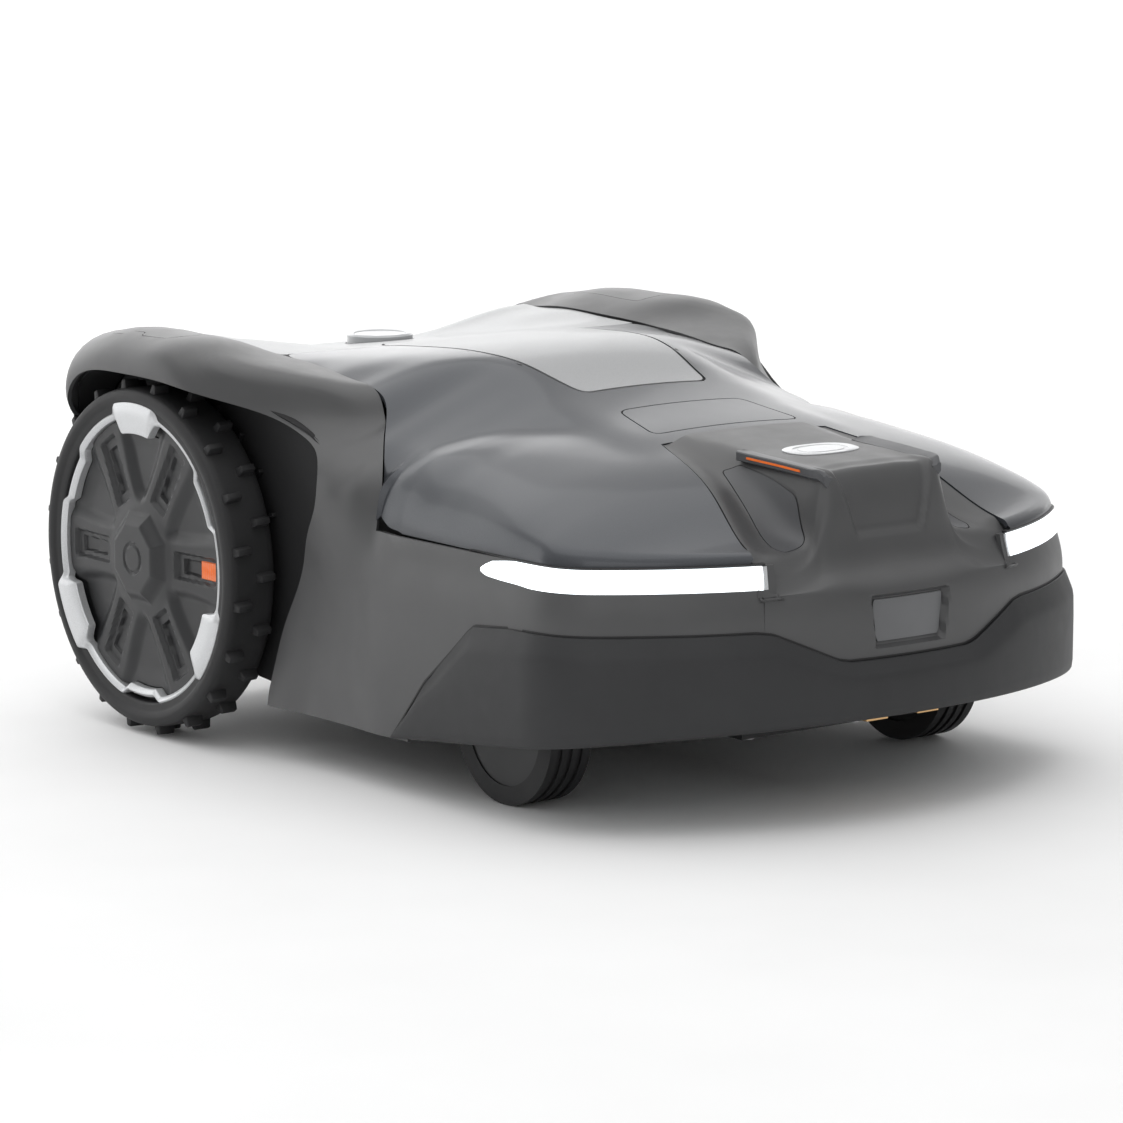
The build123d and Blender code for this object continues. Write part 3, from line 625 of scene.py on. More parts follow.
def body_skin():
    """Outside of the right half of the body shell, before it is trimmed."""
    net, stations = body_net()
    grid = surface(net, stations, ROWS_AT, 6, BODY_PER_ROW)
    columns, rows = grid.shape[:2]
    faces = []
    for c in range(columns - 1):
        for r in range(rows - 1):
            corners = (c * rows + r, (c + 1) * rows + r, (c + 1) * rows + r + 1, c * rows + r + 1)
            middle = grid[c : c + 2, r : r + 2].reshape(-1, 3).mean(axis=0)
            hidden_top = float(np.interp(middle[1], [-150, -106, -64], [118, 72, 20]))
            behind_bumper = middle[1] < -70 and middle[2] < hidden_top
            under_cover = middle[1] < -60 and r >= (len(LEVELS) - 1) * BODY_PER_ROW
            if not (behind_bumper or under_cover):
                faces.append(corners)
    made = made_object("body_shell_skin", (grid.reshape(-1, 3) * MM).tolist(), faces)
    return edited(made, lambda work: bmesh.ops.delete(
        work, geom=[v for v in work.verts if not v.link_faces], context="VERTS"))


# Side view of the wheel opening: (y, z) from the skirt up the leg, over the arch and down behind
WHEEL_OPENING = [
    (90, 20), (88, 54), (74, 105), (56, 145), (40, 182), (30, 197), (27, 213), (36, 230), (60, 245),
    (94, 259), (136, 271), (184, 278.5), (240, 280), (284, 278), (315, 267), (336, 246), (352, 226),
    (420, 190), (420, 20),
]
COVER_OUTLINE = [(290, -370), (290, -35), (227, -34.5), (214, -18), (196, 6), (177, 29), (175, 60),
                 (174, 150), (170, 174), (96, 152)]


def smooth_open(points, per_cell=6):
    """Smooth curve through open points."""
    points = np.array(points, float)
    length = np.append(0, np.cumsum(np.linalg.norm(np.diff(points, axis=0), axis=1)))
    return spline(length, points, subdivided(length, per_cell))


arch = smooth_open(WHEEL_OPENING[1:-2])
opening = [WHEEL_OPENING[0], *map(tuple, arch), *WHEEL_OPENING[-2:]]
COVER_GAP = 1.1
HIGH = 330


def cover_tool(gap):
    """Space that the cover fills in plan, above its lower edge."""
    outline = rounded(mirror_outline(COVER_OUTLINE), 10)
    centre = Vector((0, -60))
    return [p + (p - centre).normalized() * gap for p in outline]


cap_low, cap_high = (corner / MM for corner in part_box("fender_caps"))
CAP_OUTLINE = [(204, cap_low.y + 4), (236, cap_low.y), (cap_high.x - 3, cap_low.y + 10),
               (cap_high.x - 1, cap_low.y + 44), (cap_high.x - 8, cap_low.y + 48),
               (cap_high.x - 8, cap_low.y + 66), (cap_high.x - 1, cap_low.y + 70),
               (cap_high.x - 3, cap_high.y - 6), (206, cap_high.y)]
CAP_GAP = 0.9


def shrunk(outline, amount):
    """A closed outline moved towards its middle by amount."""
    middle = sum((Vector(p).to_2d() for p in outline), Vector((0, 0))) / len(outline)
    return [Vector(p).to_2d() - (Vector(p).to_2d() - middle).normalized() * amount for p in outline]


SHELL_WALL = 3.2
SKIN_WALL = 3.0
COVER_EDGE_Z = 188
CAP_CUT_FROM = 270
body = thick(body_skin(), SHELL_WALL)
cut(body, prism(opening, 180, HIGH, "X"))
cut(body, prism(cover_tool(COVER_GAP), COVER_EDGE_Z - 0.8, HIGH))
cap_line = rounded(shrunk(CAP_OUTLINE, CAP_GAP), 4)
caps = keep(copy_of(body, "fender_caps_skin"), prism(cap_line, CAP_CUT_FROM, HIGH))
cut(body, prism(rounded(CAP_OUTLINE, 5), CAP_CUT_FROM, HIGH))
for piece, replaced in ((body, "body_shell"), (caps, "fender_caps")):
    finish_piece(both_sides(piece), "shell_plastic", "shell", [replaced], angle=38)

# ---------------------------------------------------------------- top: cover, badge plate, hatch, rear deck

# Stations from the front to the rear: y, height and fall of the raised deck, lift of its rear edges
DECK_RULE = [
    (-345, 165, 0.0005, 0), (-262, 214, 0.0005, 0), (-224, 234, 0.0005, 0), (-171, 253.5, 0.0005, 0),
    (-114, 265, 0.0005, 0), (-72, 274, 0.0005, 0), (-34, 285, 0.0005, 0), (0, 296.5, 0.0005, 0),
    (20, 300.5, 0.0005, 0), (51, 303, 0.00046, 0), (100, 302, 0.0004, 0), (141, 299, 0.00032, 0.8),
    (176, 293.5, 0.00015, 3), (215, 288, 0.00003, 6.5), (265, 282.5, 0, 13.5), (310, 278, 0, 17),
    (338, 273, 0, 15), (352, 263, 0, 6),
]
# Stations: y, height at x = 100, slope outwards and drop towards the side of the faces beside the deck
FLANK_RULE = [
    (-345, 165, 0.45, 0), (-262, 213, 0.45, 0), (-224, 231, 0.45, 0.01), (-171, 248, 0.45, 0.02),
    (-109, 258.5, 0.40, 0.024), (-72, 267, 0.34, 0.024), (-50, 272, 0.35, 0.022), (-34, 276.5, 0.37, 0.016),
    (-15, 282, 0.395, 0.008), (0, 286.5, 0.40, 0), (15, 291, 0.40, 0), (28, 296, 0.34, 0), (42, 300, 0.30, 0),
    (68, 303.5, 0.30, 0), (100, 307, 0.29, 0), (140, 312, 0.29, 0), (176, 322, 0.2, 0), (360, 340, 0, 0),
]
# Stations: y, height of the crown, and the two exponents of the rounding towards the edge of each front pod
POD_RULE = [
    (-345, 193, 1.4, 1.0), (-334, 195, 1.45, 1.0), (-300, 213, 1.5, 1.0), (-262, 235, 1.6, 1.3),
    (-224, 245.5, 1.9, 1.75), (-171, 251.5, 2.7, 2.0), (-114, 257, 3.35, 2.0), (-90, 257, 3.9, 2.0),
    (-72, 255, 5.0, 2.0), (-34, 255, 6.0, 2.0),
]
# Where the crown of a pod starts to fall to the rear: x, y
POD_CREST = [(0, -100), (90, -98), (118, -90), (140, -77), (160, -72), (185, -67), (212, -61), (228, -45),
             (240, -32)]
POD_END_Y = -34
# Half width of the deck behind the pods: y, x
DECK_HALF_WIDTH = [(POD_END_Y, 236), (-10, 224), (14, 200), (30, 188), (360, 186)]
DECK_SIDE_X = 172
DECK_CREASE = 1.8
POD_CREASE = 2.2
EDGE_INSET = 17.5
LIP_DEPTH = 7.0
LIP_REACH = 6.5


def rule(table, y):
    """Smooth values of a table of stations at y."""
    table = np.array(table, float)
    return spline(table[:, 0], table[:, 1:], y).T


def smooth_step(value, low, high):
    """Zero below low, one above high, smooth between."""
    t = np.clip((value - low) / (high - low), 0, 1)
    return t * t * (3 - 2 * t)


def smooth_min(a, b, reach):
    """The lower of two heights with a rounded crease."""
    low = np.minimum(a, b)
    return low - reach * np.log1p(np.exp(-np.abs(a - b) / reach))


def edge_distance(x, y):
    """Distance in from the cover's edge, on one side of the machine."""
    line = PLAN_POINTS - PLAN_NORMALS * EDGE_INSET
    start, step = line[:-1], np.diff(line, axis=0)
    from_x = x[..., None] - start[:, 0]
    from_y = y[..., None] - start[:, 1]
    along = np.clip((from_x * step[:, 0] + from_y * step[:, 1]) / (step**2).sum(axis=1), 0, 1)
    return np.hypot(from_x - along * step[:, 0], from_y - along * step[:, 1]).min(axis=-1)


def top_height(x, y, edge):
    """Height of the top at x >= 0; edge is the half width there."""
    high, fall, lift = rule(DECK_RULE, y)
    deck = high - fall * x**2 + lift * smooth_step(x, 50, DECK_SIDE_X)
    base, slope, drop = rule(FLANK_RULE, y)
    flank = base - slope * (x - 100) - drop * np.clip(x - 188, 0, None) ** 2
    crown, p, q = rule(POD_RULE, np.minimum(y, POD_END_Y - 2))
    crest = np.interp(x, *zip(*POD_CREST))
    behind = np.clip(y - crest, 0, None)
    crown = crown - 0.008 * behind**2
    share = np.clip(x / edge, 0, 1)
    front = 1 - smooth_step(y, -200, -120)
    lip = LIP_DEPTH * (0.25 + 0.75 * front)
    foot = COVER_EDGE_Z + lip
    pod = foot + (crown - foot) * (1 - share**p) ** (1 / q)
    top = -smooth_min(-smooth_min(deck, flank, DECK_CREASE), -pod, POD_CREASE)
    inside = np.clip(1 - edge_distance(x, y) / LIP_REACH, 0, 1)
    rolled = lip * (1 - np.sqrt(1 - inside**2))
    return np.where(y < POD_END_Y + 1, top - rolled, top)


def half_width(y):
    """Half width of the cover's edge at y, and of the deck behind it."""
    inner = PLAN_POINTS - PLAN_NORMALS * EDGE_INSET
    beside_pod = np.interp(y, inner[:, 1], inner[:, 0])
    return np.where(y < POD_END_Y, beside_pod, np.interp(y, *zip(*DECK_HALF_WIDTH)))


NOSE_REAR_Y = -171.0
NOSE_SEAM = [(-372, 125.2), (-340, 122.2), (-311, 118.2), (-243, 98.2), (NOSE_REAR_Y, 78.2)]
ROWS_INSIDE = 14


def top_surface():
    """Skin of the whole top, open where the nose is."""
    spans = ((-324.5, -310, 1.5), (-310, NOSE_REAR_Y, 3.0), (NOSE_REAR_Y, POD_END_Y, 3.0),
             (POD_END_Y + 1, 12, 2.5), (12, 350, 5.0))
    stations = np.unique(np.concatenate([np.arange(*span) for span in spans]))
    seam = np.interp(stations, *zip(*NOSE_SEAM))
    edge = half_width(stations)
    inside = np.linspace(0, 1, ROWS_INSIDE)[:-1]
    outside = 1 - (1 - np.linspace(0, 1, 40)) ** 1.7
    x = np.concatenate([seam[:, None] * inside, seam[:, None] + (edge - seam)[:, None] * outside], axis=1)
    y = np.repeat(stations[:, None], x.shape[1], axis=1)
    z = top_height(x.ravel(), y.ravel(), np.repeat(edge, x.shape[1])).reshape(x.shape)
    grid = np.stack([x, y, z], axis=-1)[:, ::-1]

    def open_for_nose(work):
        inner = []
        for face in work.faces:
            middle = face.calc_center_median() / MM
            if middle.y < NOSE_REAR_Y and abs(middle.x) < np.interp(middle.y, *zip(*NOSE_SEAM)):
                inner.append(face)
        bmesh.ops.delete(work, geom=inner, context="FACES")

    return thick(both_sides(edited(grid_mesh("top_master", grid), open_for_nose)), SKIN_WALL)


top_master = top_surface()


def full_width(section):
    """A half section of points continued across the middle."""
    return [(-x, y, z) for x, y, z in reversed(section[1:])] + list(section)


def both_ways(at):
    """Row parameters of a half section continued across the middle."""
    return [-a for a in reversed(at[1:])] + list(at)


HATCH_OUTLINE = [(58.5, -56), (80, 40), (94, 150), (72, 178)]
BADGE_OUTLINE = [(69, -152), (58, -97)]
DECK_OUTLINE = [(96, 153), (DECK_SIDE_X, 174.5), (DECK_SIDE_X, 347)]
stop_low, stop_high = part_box("stop_button")
STOP_PLACE = Vector((stop_low.x + stop_high.x, stop_low.y + stop_high.y)) / 2 / MM
STOP_RADIUS = (stop_high.x - stop_low.x) / 2 / MM
STOP_TOP = (stop_high / MM).z
STOP_GAP = 1.2
GAP = 1.2


def grown(outline, gap):
    """A closed outline moved outwards by gap."""
    points = [Vector(p).to_2d() for p in outline]
    area = sum(a.x * b.y - b.x * a.y for a, b in zip(points, points[1:] + points[:1]))
    turn = 1 if area > 0 else -1
    result = []
    for i, corner in enumerate(points):
        before = (corner - points[i - 1]).normalized()
        after = (points[(i + 1) % len(points)] - corner).normalized()
        normal = Vector((before.y, -before.x)) + Vector((after.y, -after.x))
        normal.normalize()
        side = Vector((after.y, -after.x))
        result.append(corner + normal * turn * gap / max(0.3, normal.dot(side)))
    return result


def circle(centre, radius, count=64):
    """Closed outline of a circle."""
    angles = [2 * math.pi * k / count for k in range(count)]
    return [Vector((centre[0] + radius * math.cos(a), centre[1] + radius * math.sin(a))) for a in angles]


hatch_line = rounded(mirror_outline(HATCH_OUTLINE), 9)
badge_line = rounded(mirror_outline(BADGE_OUTLINE), 9)
deck_line = rounded(mirror_outline(DECK_OUTLINE), 3)
cover_line = rounded(mirror_outline(COVER_OUTLINE), 10)

TOP_CUT_FROM = 200


def top_cutter(outline):
    """Prism on an outline through the top skin."""
    return prism(outline, TOP_CUT_FROM, HIGH)


hatch = keep(copy_of(top_master, "hatch_skin"), top_cutter(hatch_line))
badge = keep(copy_of(top_master, "badge_skin"), top_cutter(badge_line))
deck = keep(copy_of(top_master, "rear_deck_skin"), top_cutter(deck_line))
cut(deck, top_cutter(grown(hatch_line, 2 * GAP)), top_cutter(circle(STOP_PLACE, STOP_RADIUS + STOP_GAP)))
cover = keep(top_master, prism(cover_line, 100, HIGH))
cover.name = "top_cover_skin"
cut(cover, top_cutter(grown(hatch_line, 2 * GAP)), top_cutter(grown(badge_line, GAP)))

# ---------------------------------------------------------------- nose


def nose_net():
    """Control net of the nose: from the rear edge forward, down the front and behind the bumper."""
    flat = [
        (-172, [(0, 258), (20, 258), (40, 257.5), (50, 257), (56, 256.6), (62, 256.2), (68, 255.7),
                (73, 255.2), (77, 254.6)]),
        (-205, [(0, 254.5), (22, 254.5), (42, 254), (52, 253), (58, 251.3), (65, 248.8), (72, 246.5),
                (79, 244.5), (86.5, 243)]),
        (-243, [(0, 251), (24, 251), (45, 250.5), (55, 248), (60, 243), (66, 237), (75, 232.5),
                (86, 230.3), (97, 229.5)]),
        (-280, [(0, 249), (24, 249), (45, 248.5), (55, 245.5), (60, 237), (66, 223), (76, 213.5),
                (92, 210), (107.5, 209.5)]),
        (-306, [(0, 247.5), (24, 247.5), (45, 247), (54.5, 243.5), (59.5, 231), (64, 212), (73, 199.5),
                (94, 196), (115, 195)]),
    ]
    net = [[(x, y, z) for x, z in section] for y, section in flat]
    net.append([(0, -318, 246.5), (24, -318, 246.5), (44, -318, 246), (53.5, -318, 242.5), (58.5, -318, 230),
                (63, -318.5, 208), (73, -319, 195), (96, -320, 191.5), (118, -319, 190)])
    net.append([(0, -324, 241), (24, -324, 241), (44, -323.5, 240.5), (53, -322, 237), (58.5, -321.5, 222),
                (63.5, -322.5, 202), (74, -324, 190), (97, -325.5, 186), (119, -325, 184)])
    net.append([(0, -331, 210), (24, -331, 210), (45, -330.5, 210), (54, -329, 209), (59.5, -327.5, 203),
                (65, -328, 192), (76, -330, 182.5), (98, -330.5, 178), (120, -328, 177)])
    net.append([(0, -338, 180), (25, -338, 180), (46, -337.5, 180), (57, -336.5, 179.5), (63, -336, 178),
                (69, -335.8, 176), (80, -336, 173.5), (99, -334.5, 171.5), (120.5, -330, 171)])
    net.append([(0, -347, 173), (28, -346, 173), (50, -345, 172.5), (60, -344, 172), (68, -343, 171),
                (76, -342, 169.5), (87, -340.5, 168), (103, -337.5, 166.5), (121, -331.3, 165.5)])
    spread = (0, 28, 50, 62, 71, 79, 90, 105, 121.5)
    for z, inset in ((165, 11), (156, 9.3), (138, 9), (112, 10)):
        net.append([(*on_plan(plan_length_at(x=x), inset), z) for x in spread])
    return [full_width(column) for column in net]


NOSE_COLUMNS_AT = [0, 34, 73, 111, 138, 150, 160, 192, 224, 237, 250, 260, 278, 304]
NOSE_ROWS_AT = [0, 24, 45, 55, 61, 70, 82, 100, 121]
UPPER_DEPTH = 4.5
LOWER_DEPTH = 5.5


def box_share(distance, half, soft):
    """One within half of the middle, falling smoothly to zero over soft."""
    return 1 - smooth_step(np.abs(distance), half, half + soft)


def front_recess(x, y, z):
    """How far the nose's surface is pressed in at a point: an open U above, a window below."""
    half = np.interp(z, [197, 247], [31, 45.5])
    upper = box_share(x, half - 4, 5.0) * smooth_step(z, 197.5, 203.5) * (1 - smooth_step(y, -322, -300))
    half = np.interp(z, [122, 162], [31.5, 36.5])
    lower = box_share(x, half - 1.8, 2.6) * smooth_step(z, 122.5, 126) * (1 - smooth_step(z, 158, 161.5))
    return UPPER_DEPTH * upper + LOWER_DEPTH * lower


def nose_surface():
    """The nose with its side edges raised to the cover's seam and its two recesses pressed in."""
    grid = surface(nose_net(), NOSE_COLUMNS_AT, both_ways(NOSE_ROWS_AT), 12, 11)
    x, y, z = (grid[..., k] for k in range(3))
    seam = np.interp(y, *zip(*NOSE_SEAM))
    seam_top = top_height(seam.ravel(), y.ravel(), half_width(y.ravel())).reshape(seam.shape) - 0.5
    z += smooth_step(np.abs(x), seam - 24, seam - 3) * smooth_step(y, -322, -312) * (seam_top - z)
    pressed = front_recess(x, y, z)
    upright = smooth_step(-y, 300, 326)
    y += pressed * upright
    z -= pressed * (1 - upright)
    return grid


TRIM_OUTLINE = [(61, -238), (71, -231), (79, -260), (86, -288), (91, -311), (88, -318.5), (68, -318.5),
                (61, -300)]
TRIM_GAP = 0.7


def trim_tools(outline):
    """Prisms on both sides of the nose that reach through its flanks."""
    return both_sides(prism(outline, 150, 244))


nose = thick(grid_mesh("nose_skin", nose_surface()), SKIN_WALL)
trims = keep(copy_of(nose, "nose_trim_panels"), trim_tools(rounded(TRIM_OUTLINE, 4)))
cut(nose, trim_tools(grown(rounded(TRIM_OUTLINE, 4), TRIM_GAP)))
# Height of the nose's flat top: y, z
NOSE_TOP = [(-324, 241.5), (-318, 246), (-306, 247.2), (-280, 249), (-243, 251), (-205, 254.5), (-172, 258)]


def nose_top(y):
    """Height of the nose's flat top at y."""
    return float(np.interp(y, *zip(*NOSE_TOP)))


def ledge_edge(y):
    """Outer edge, as x, of the ledge along the top of the nose."""
    end = float(smooth_step(y, -324, -312)) * float(1 - smooth_step(y, -238.5, -235))
    return 53 + float(np.interp(y, [-324, -240], [7.5, 11.5])) * (0.25 + 0.75 * end)


def along_nose(name, stations, profile):
    """Closed bars on both sides of the nose.

    The profile turns the ledge's edge x into points of (x, rise over the nose's top).
    """
    sections = []
    for y in stations:
        points = [(x, y, nose_top(y) + rise) for x, rise in profile(ledge_edge(y))]
        sections.append([*points, points[0]])
    return both_sides(close_ends(grid_mesh(name, np.array(sections))))


ledge = along_nose("nose_ledges", np.linspace(-323.5, -236, 60), lambda edge: [
    (47, -0.4), (51, 0.3), (edge - 2.6, 1.6), (edge - 0.7, 1.5), (edge, 0.8), (edge, -4.4),
    (edge - 0.8, -5.2), (50, -9)])
orange_lines = along_nose("accent_lines", np.linspace(-305, -250, 40), lambda edge: [
    (edge - 0.5, -0.7), (edge + 0.5, -1.0), (edge + 0.5, -2.4), (edge - 0.5, -2.7)])
EMBLEM_Y = -256
EMBLEM_HALF_X = 31
EMBLEM_HALF_Y = 17
# Rings of the emblem from its middle outwards: share of its size, rise over the nose's top
EMBLEM_RINGS = ((0.002, 0.9), (0.55, 0.9), (0.60, 0.9), (0.62, 0.35), (0.72, 0.35), (0.74, 0.9), (0.97, 0.9),
                (1.0, 0.5), (1.0, -1.0))


def nose_emblem():
    """Blank oval plate let into the nose's top."""
    rings = []
    for share, rise in EMBLEM_RINGS:
        ring = []
        for t in np.linspace(0, 2 * math.pi, 72, endpoint=False):
            c, d = math.cos(t), math.sin(t)
            x = EMBLEM_HALF_X * share * math.copysign(abs(c) ** 0.75, c)
            y = EMBLEM_Y + EMBLEM_HALF_Y * share * math.copysign(abs(d) ** 0.75, d)
            ring.append((x, y, nose_top(y) + rise))
        rings.append(ring + [ring[0]])
    return close_ends(grid_mesh("nose_emblem", np.array(rings)))


WINDOW_LOW = 127.2
WINDOW_HIGH = 157.0


def window_plate():
    """Cover plate in the lower recess of the nose, following its curve."""
    columns = []
    for t in np.linspace(0, 1, 25):
        column = []
        for u in np.linspace(-1, 1, 33):
            shrink = 1.6 * (abs(2 * t - 1) ** 8)
            x = (29.2 + 3.6 * t - shrink) * u
            reach = on_plan(plan_length_at(x=abs(x)), 9.2 + LOWER_DEPTH)[1]
            column.append((x, reach - 0.9, WINDOW_LOW + (WINDOW_HIGH - WINDOW_LOW) * t))
        columns.append(column)
    return thick(grid_mesh("sensor_window_plate", np.array(columns)[:, ::-1]), 1.2)


for piece, slot, replaced in (
    (trims, "nose_trim", "nose_trims"), (ledge, "nose_trim", "nose_trims"),
    (orange_lines, "accent_orange", "accent_strips"), (nose_emblem(), "trim_silver", "nose_plate"),
    (window_plate(), "sensor_plastic", "sensor_window"), (cover, "cover_gloss", "top_cover"),
    (badge, "cover_gloss", "badge_plate"), (deck, "hatch_satin", "rear_deck"),
    (nose, "shell_plastic", "nose_cover"),
):
    finish_piece(piece, slot, "shell", [replaced], angle=35)
finish_piece(hatch, "hatch_satin", "hatch_lid", ["hatch"], angle=35)

# ---------------------------------------------------------------- bumper


def bumper_top(x, y):
    """Height of the bumper's upper seam."""
    if y > -166:
        return float(np.interp(y, [-166, -158, -106, -64], [136, 130.5, 87, 37]))
    if abs(x) < 130:
        return float(np.interp(abs(x), [56, 66, 116, 128], [116, 118, 139.5, 141]))
    return float(np.interp(y, [-210, -166], [141, 136.5]))


def bumper_bottom(y):
    """Height of the bumper's lower edge."""
    return LEVELS[0] + (y + 71) * (LEVELS[1] - LEVELS[0]) / (-365 + 71)


def bumper_section(s):
    """Closed section of the bumper at arc length s, from the inside top round the face."""
    x, y = on_plan(s)
    top = bumper_top(x, y)
    low = bumper_bottom(y)
    tall = max(0.5, top - low)
    share = min(1.0, tall / 60)
    profile = [(9, top - 0.6), (7.6, top), (6.6, top - 0.4), (5.9, top - 2), (1.9, top - 12 * share),
               (0.9, top - 15 * share), (0.3, top - 19 * share), (0, top - 0.45 * tall),
               (0.2, low + 9 * share), (0.9, low + 3 * share), (2.2, low + 0.8 * share), (4, low),
               (6.5, low + 0.4), (8.5, low + 4 * share), (9, low + 0.5 * tall)]
    return [(*on_plan(s, inset), z) for inset, z in profile]


SEAL_HEIGHT = 1.9
SEAL_DEPTH = 2


def seal_section(s):
    """Section of the dark joint that runs along the bumper's upper edge."""
    x, y = on_plan(s)
    low = bumper_top(x, y) - 0.5
    tail = tail_share(x, y)
    insets = [front * (1 - tail) + rear * tail for front, rear in zip(FRONT_INSETS, TAIL_INSETS)]
    outer = float(np.interp(low, LEVELS, insets)) - 0.45
    corners = ((outer, low), (outer, low + SEAL_HEIGHT), (outer + SEAL_DEPTH, low + SEAL_HEIGHT),
               (outer + SEAL_DEPTH, low))
    return [(*on_plan(s, inset), z) for inset, z in corners]


bumper_stations = np.concatenate([np.linspace(0, 56, 6), np.linspace(58, 134, 22),
                                  np.linspace(140, plan_length_at(y=-70), 90)])


def round_the_front(name, section):
    """Closed piece through a section at each station, from the left end round the front to the right end."""
    right = np.array([section(s) for s in bumper_stations])
    grid = np.concatenate([right[:0:-1] * np.array([-1, 1, 1]), right])
    return close_ends(grid_mesh(name, np.concatenate([grid, grid[:, :1]], axis=1)))


bumper = round_the_front("bumper_skin", bumper_section)
seal = round_the_front("bumper_seal", seal_section)
finish_piece(bumper, "bumper_rubber", "shell", ["front_bumper"], angle=40)
finish_piece(seal, "keypad_black", "shell", angle=40)

# ---------------------------------------------------------------- light lenses


LENS_LOW = 170.6
LENS_HEIGHT = 16


def lens_grid():
    """Lens of the right light: a tapering band round the corner, with a thickness."""
    end = plan_length_at(y=-141)
    sections = []
    for s in np.linspace(plan_length_at(x=121), end, 60):
        rest = (end - s) / 38
        rise = math.sqrt(1 - (1 - min(1.0, rest)) ** 2)
        low, high = LENS_LOW, LENS_LOW + 0.3 + LENS_HEIGHT * rise
        profile = []
        for t in np.linspace(0, 1, 7):
            z = low + (high - low) * t
            inset = 13.0 + 3.6 * (z - 170) / 17
            profile.append((*on_plan(s, inset - 1.2 * math.sin(math.pi * t) ** 0.5), z))
        profile += [(*on_plan(s, 21), high), (*on_plan(s, 19), low), profile[0]]
        sections.append(profile)
    return np.array(sections)


lens = close_ends(grid_mesh("light_lens_skin_right", lens_grid()))
lens_left = mirrored(lens, "light_lens_skin_left")
finish_piece(lens, "lamp_lens", "shell", ["light_lens_right"], angle=40)
finish_piece(lens_left, "lamp_lens", "shell", ["light_lens_left"], angle=40)

# Dark strip along the top of each lens, at the cover's lower edge: painted shade standing in for the shadow
# line between lens and cover.
SHADOW_LINE_PROFILE = ((16.2, 187.4), (15.6, 188.6), (19.5, 189.0), (19.5, 187.4))
END_GLASS_PROFILE = ((13.4, 170.8), (16.9, 186.6), (21, 186.6), (19, 170.8))
BOARD_PROFILE = ((23, 173), (23, 185), (24.4, 185), (24.4, 173))
shadow_line_at = np.linspace(plan_length_at(x=119), plan_length_at(y=-150), 50)
glass_at = np.linspace(plan_length_at(x=117.5), plan_length_at(x=120.8), 5)
boards_at = np.linspace(plan_length_at(x=125), plan_length_at(y=-155), 40)
shadow_line = band("lens_painted_shadow_lines", shadow_line_at, SHADOW_LINE_PROFILE)
glass = band("light_end_glass", glass_at, END_GLASS_PROFILE)
boards = band("light_boards_band", boards_at, BOARD_PROFILE)
# Painted shade: the strips above the lenses are made near-black to stand in for the shadow line under the
# cover.
finish_piece(both_sides(shadow_line), "keypad_black", "shell", angle=40)
finish_piece(both_sides(glass), "trim_silver", "shell", angle=40)
finish_piece(both_sides(boards), "circuit_board", "shell", ["light_boards"])

# ---------------------------------------------------------------- driven wheels

axle_low, axle_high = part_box("axle_shaft_right")
WHEEL_Y = (axle_low.y + axle_high.y) / 2 / MM
WHEEL_Z = (axle_low.z + axle_high.z) / 2 / MM
TYRE_IN, TYRE_OUT = (corner.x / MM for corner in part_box("tyre_right"))
TREAD_RADIUS = 131
LUGS = 20
LUG_HALF_TURN = 1.75
LUG_TIP_RADIUS = 137.4
LUG_TWIST = 0.4
BOX_FACES = [(3, 2, 1, 0), (4, 5, 6, 7), (0, 1, 5, 4), (1, 2, 6, 5), (2, 3, 7, 6), (3, 0, 4, 7)]


def wheel_point(x, radius, angle):
    """Point on the right wheel: angle in degrees from the front, upwards."""
    turn = math.radians(angle)
    return (x, WHEEL_Y - radius * math.cos(turn), WHEEL_Z + radius * math.sin(turn))


def revolved(name, profile, count=144):
    """Closed ring from a closed (radius, x) profile turned about the right wheel's axle."""
    grid = np.array([[wheel_point(x, r, 360 * k / count) for r, x in profile] for k in range(count)])
    return grid_mesh(name, grid, closed=True)


def rounded_profile(points, radius):
    """Closed profile with rounded corners, its first point repeated at the end."""
    line = [tuple(p) for p in rounded(points, radius, 4)]
    return line + [line[0]]


tyre_profile = rounded_profile([
    (112, TYRE_IN + 4), (122, TYRE_IN + 0.3), (129.5, TYRE_IN + 2), (TREAD_RADIUS, TYRE_IN + 7),
    (TREAD_RADIUS, TYRE_OUT - 7), (129.5, TYRE_OUT - 1.5), (124, TYRE_OUT), (120.5, TYRE_OUT - 1.0),
    (118.5, TYRE_OUT - 2.6), (112, TYRE_OUT - 3.4), (112, TYRE_OUT - 12),
], 2.4)


def lug_face(low, high, radius, angle, back, ahead):
    """Four corners of a lug's face, from back to ahead of its angle and a little twisted."""
    corners = ((low, back), (high, back - LUG_TWIST), (high, ahead - LUG_TWIST), (low, ahead))
    return [wheel_point(x, radius, angle + turn) for x, turn in corners]


def tyre_lug(low, high, tip_low, tip_high, angle):
    """One tread block that narrows to its tip."""
    base = lug_face(low, high, TREAD_RADIUS - 2, angle, -LUG_HALF_TURN, LUG_HALF_TURN)
    tip = lug_face(tip_low, tip_high, LUG_TIP_RADIUS, angle, -LUG_HALF_TURN * 0.62, LUG_HALF_TURN * 0.5)
    lug = made_object("lug", [Vector(p) * MM for p in base + tip], BOX_FACES)
    return bevelled(fix_normals(lug), 0.9, 2)


tyre_parts = [close_ends(revolved("tyre_skin_right", tyre_profile))]
for k in range(LUGS):
    angle = 360 * k / LUGS
    tyre_parts.append(tyre_lug(TYRE_IN + 5, TYRE_IN + 20, TYRE_IN + 5.9, TYRE_IN + 18.4, angle))
for k in range(LUGS):
    angle = 360 * (k + 0.5) / LUGS
    tyre_parts.append(tyre_lug(TYRE_OUT - 20, TYRE_OUT - 5, TYRE_OUT - 18.4, TYRE_OUT - 5.9, angle))
tyre = joined("tyre_skin_right", tyre_parts)

TABS = (90, 210, 330)
NOTCHES = (30, 150, 270)


def off_from(angle, places):
    """Smallest turn from an angle to one of several places, in degrees."""
    return min(abs((angle - place + 180) % 360 - 180) for place in places)


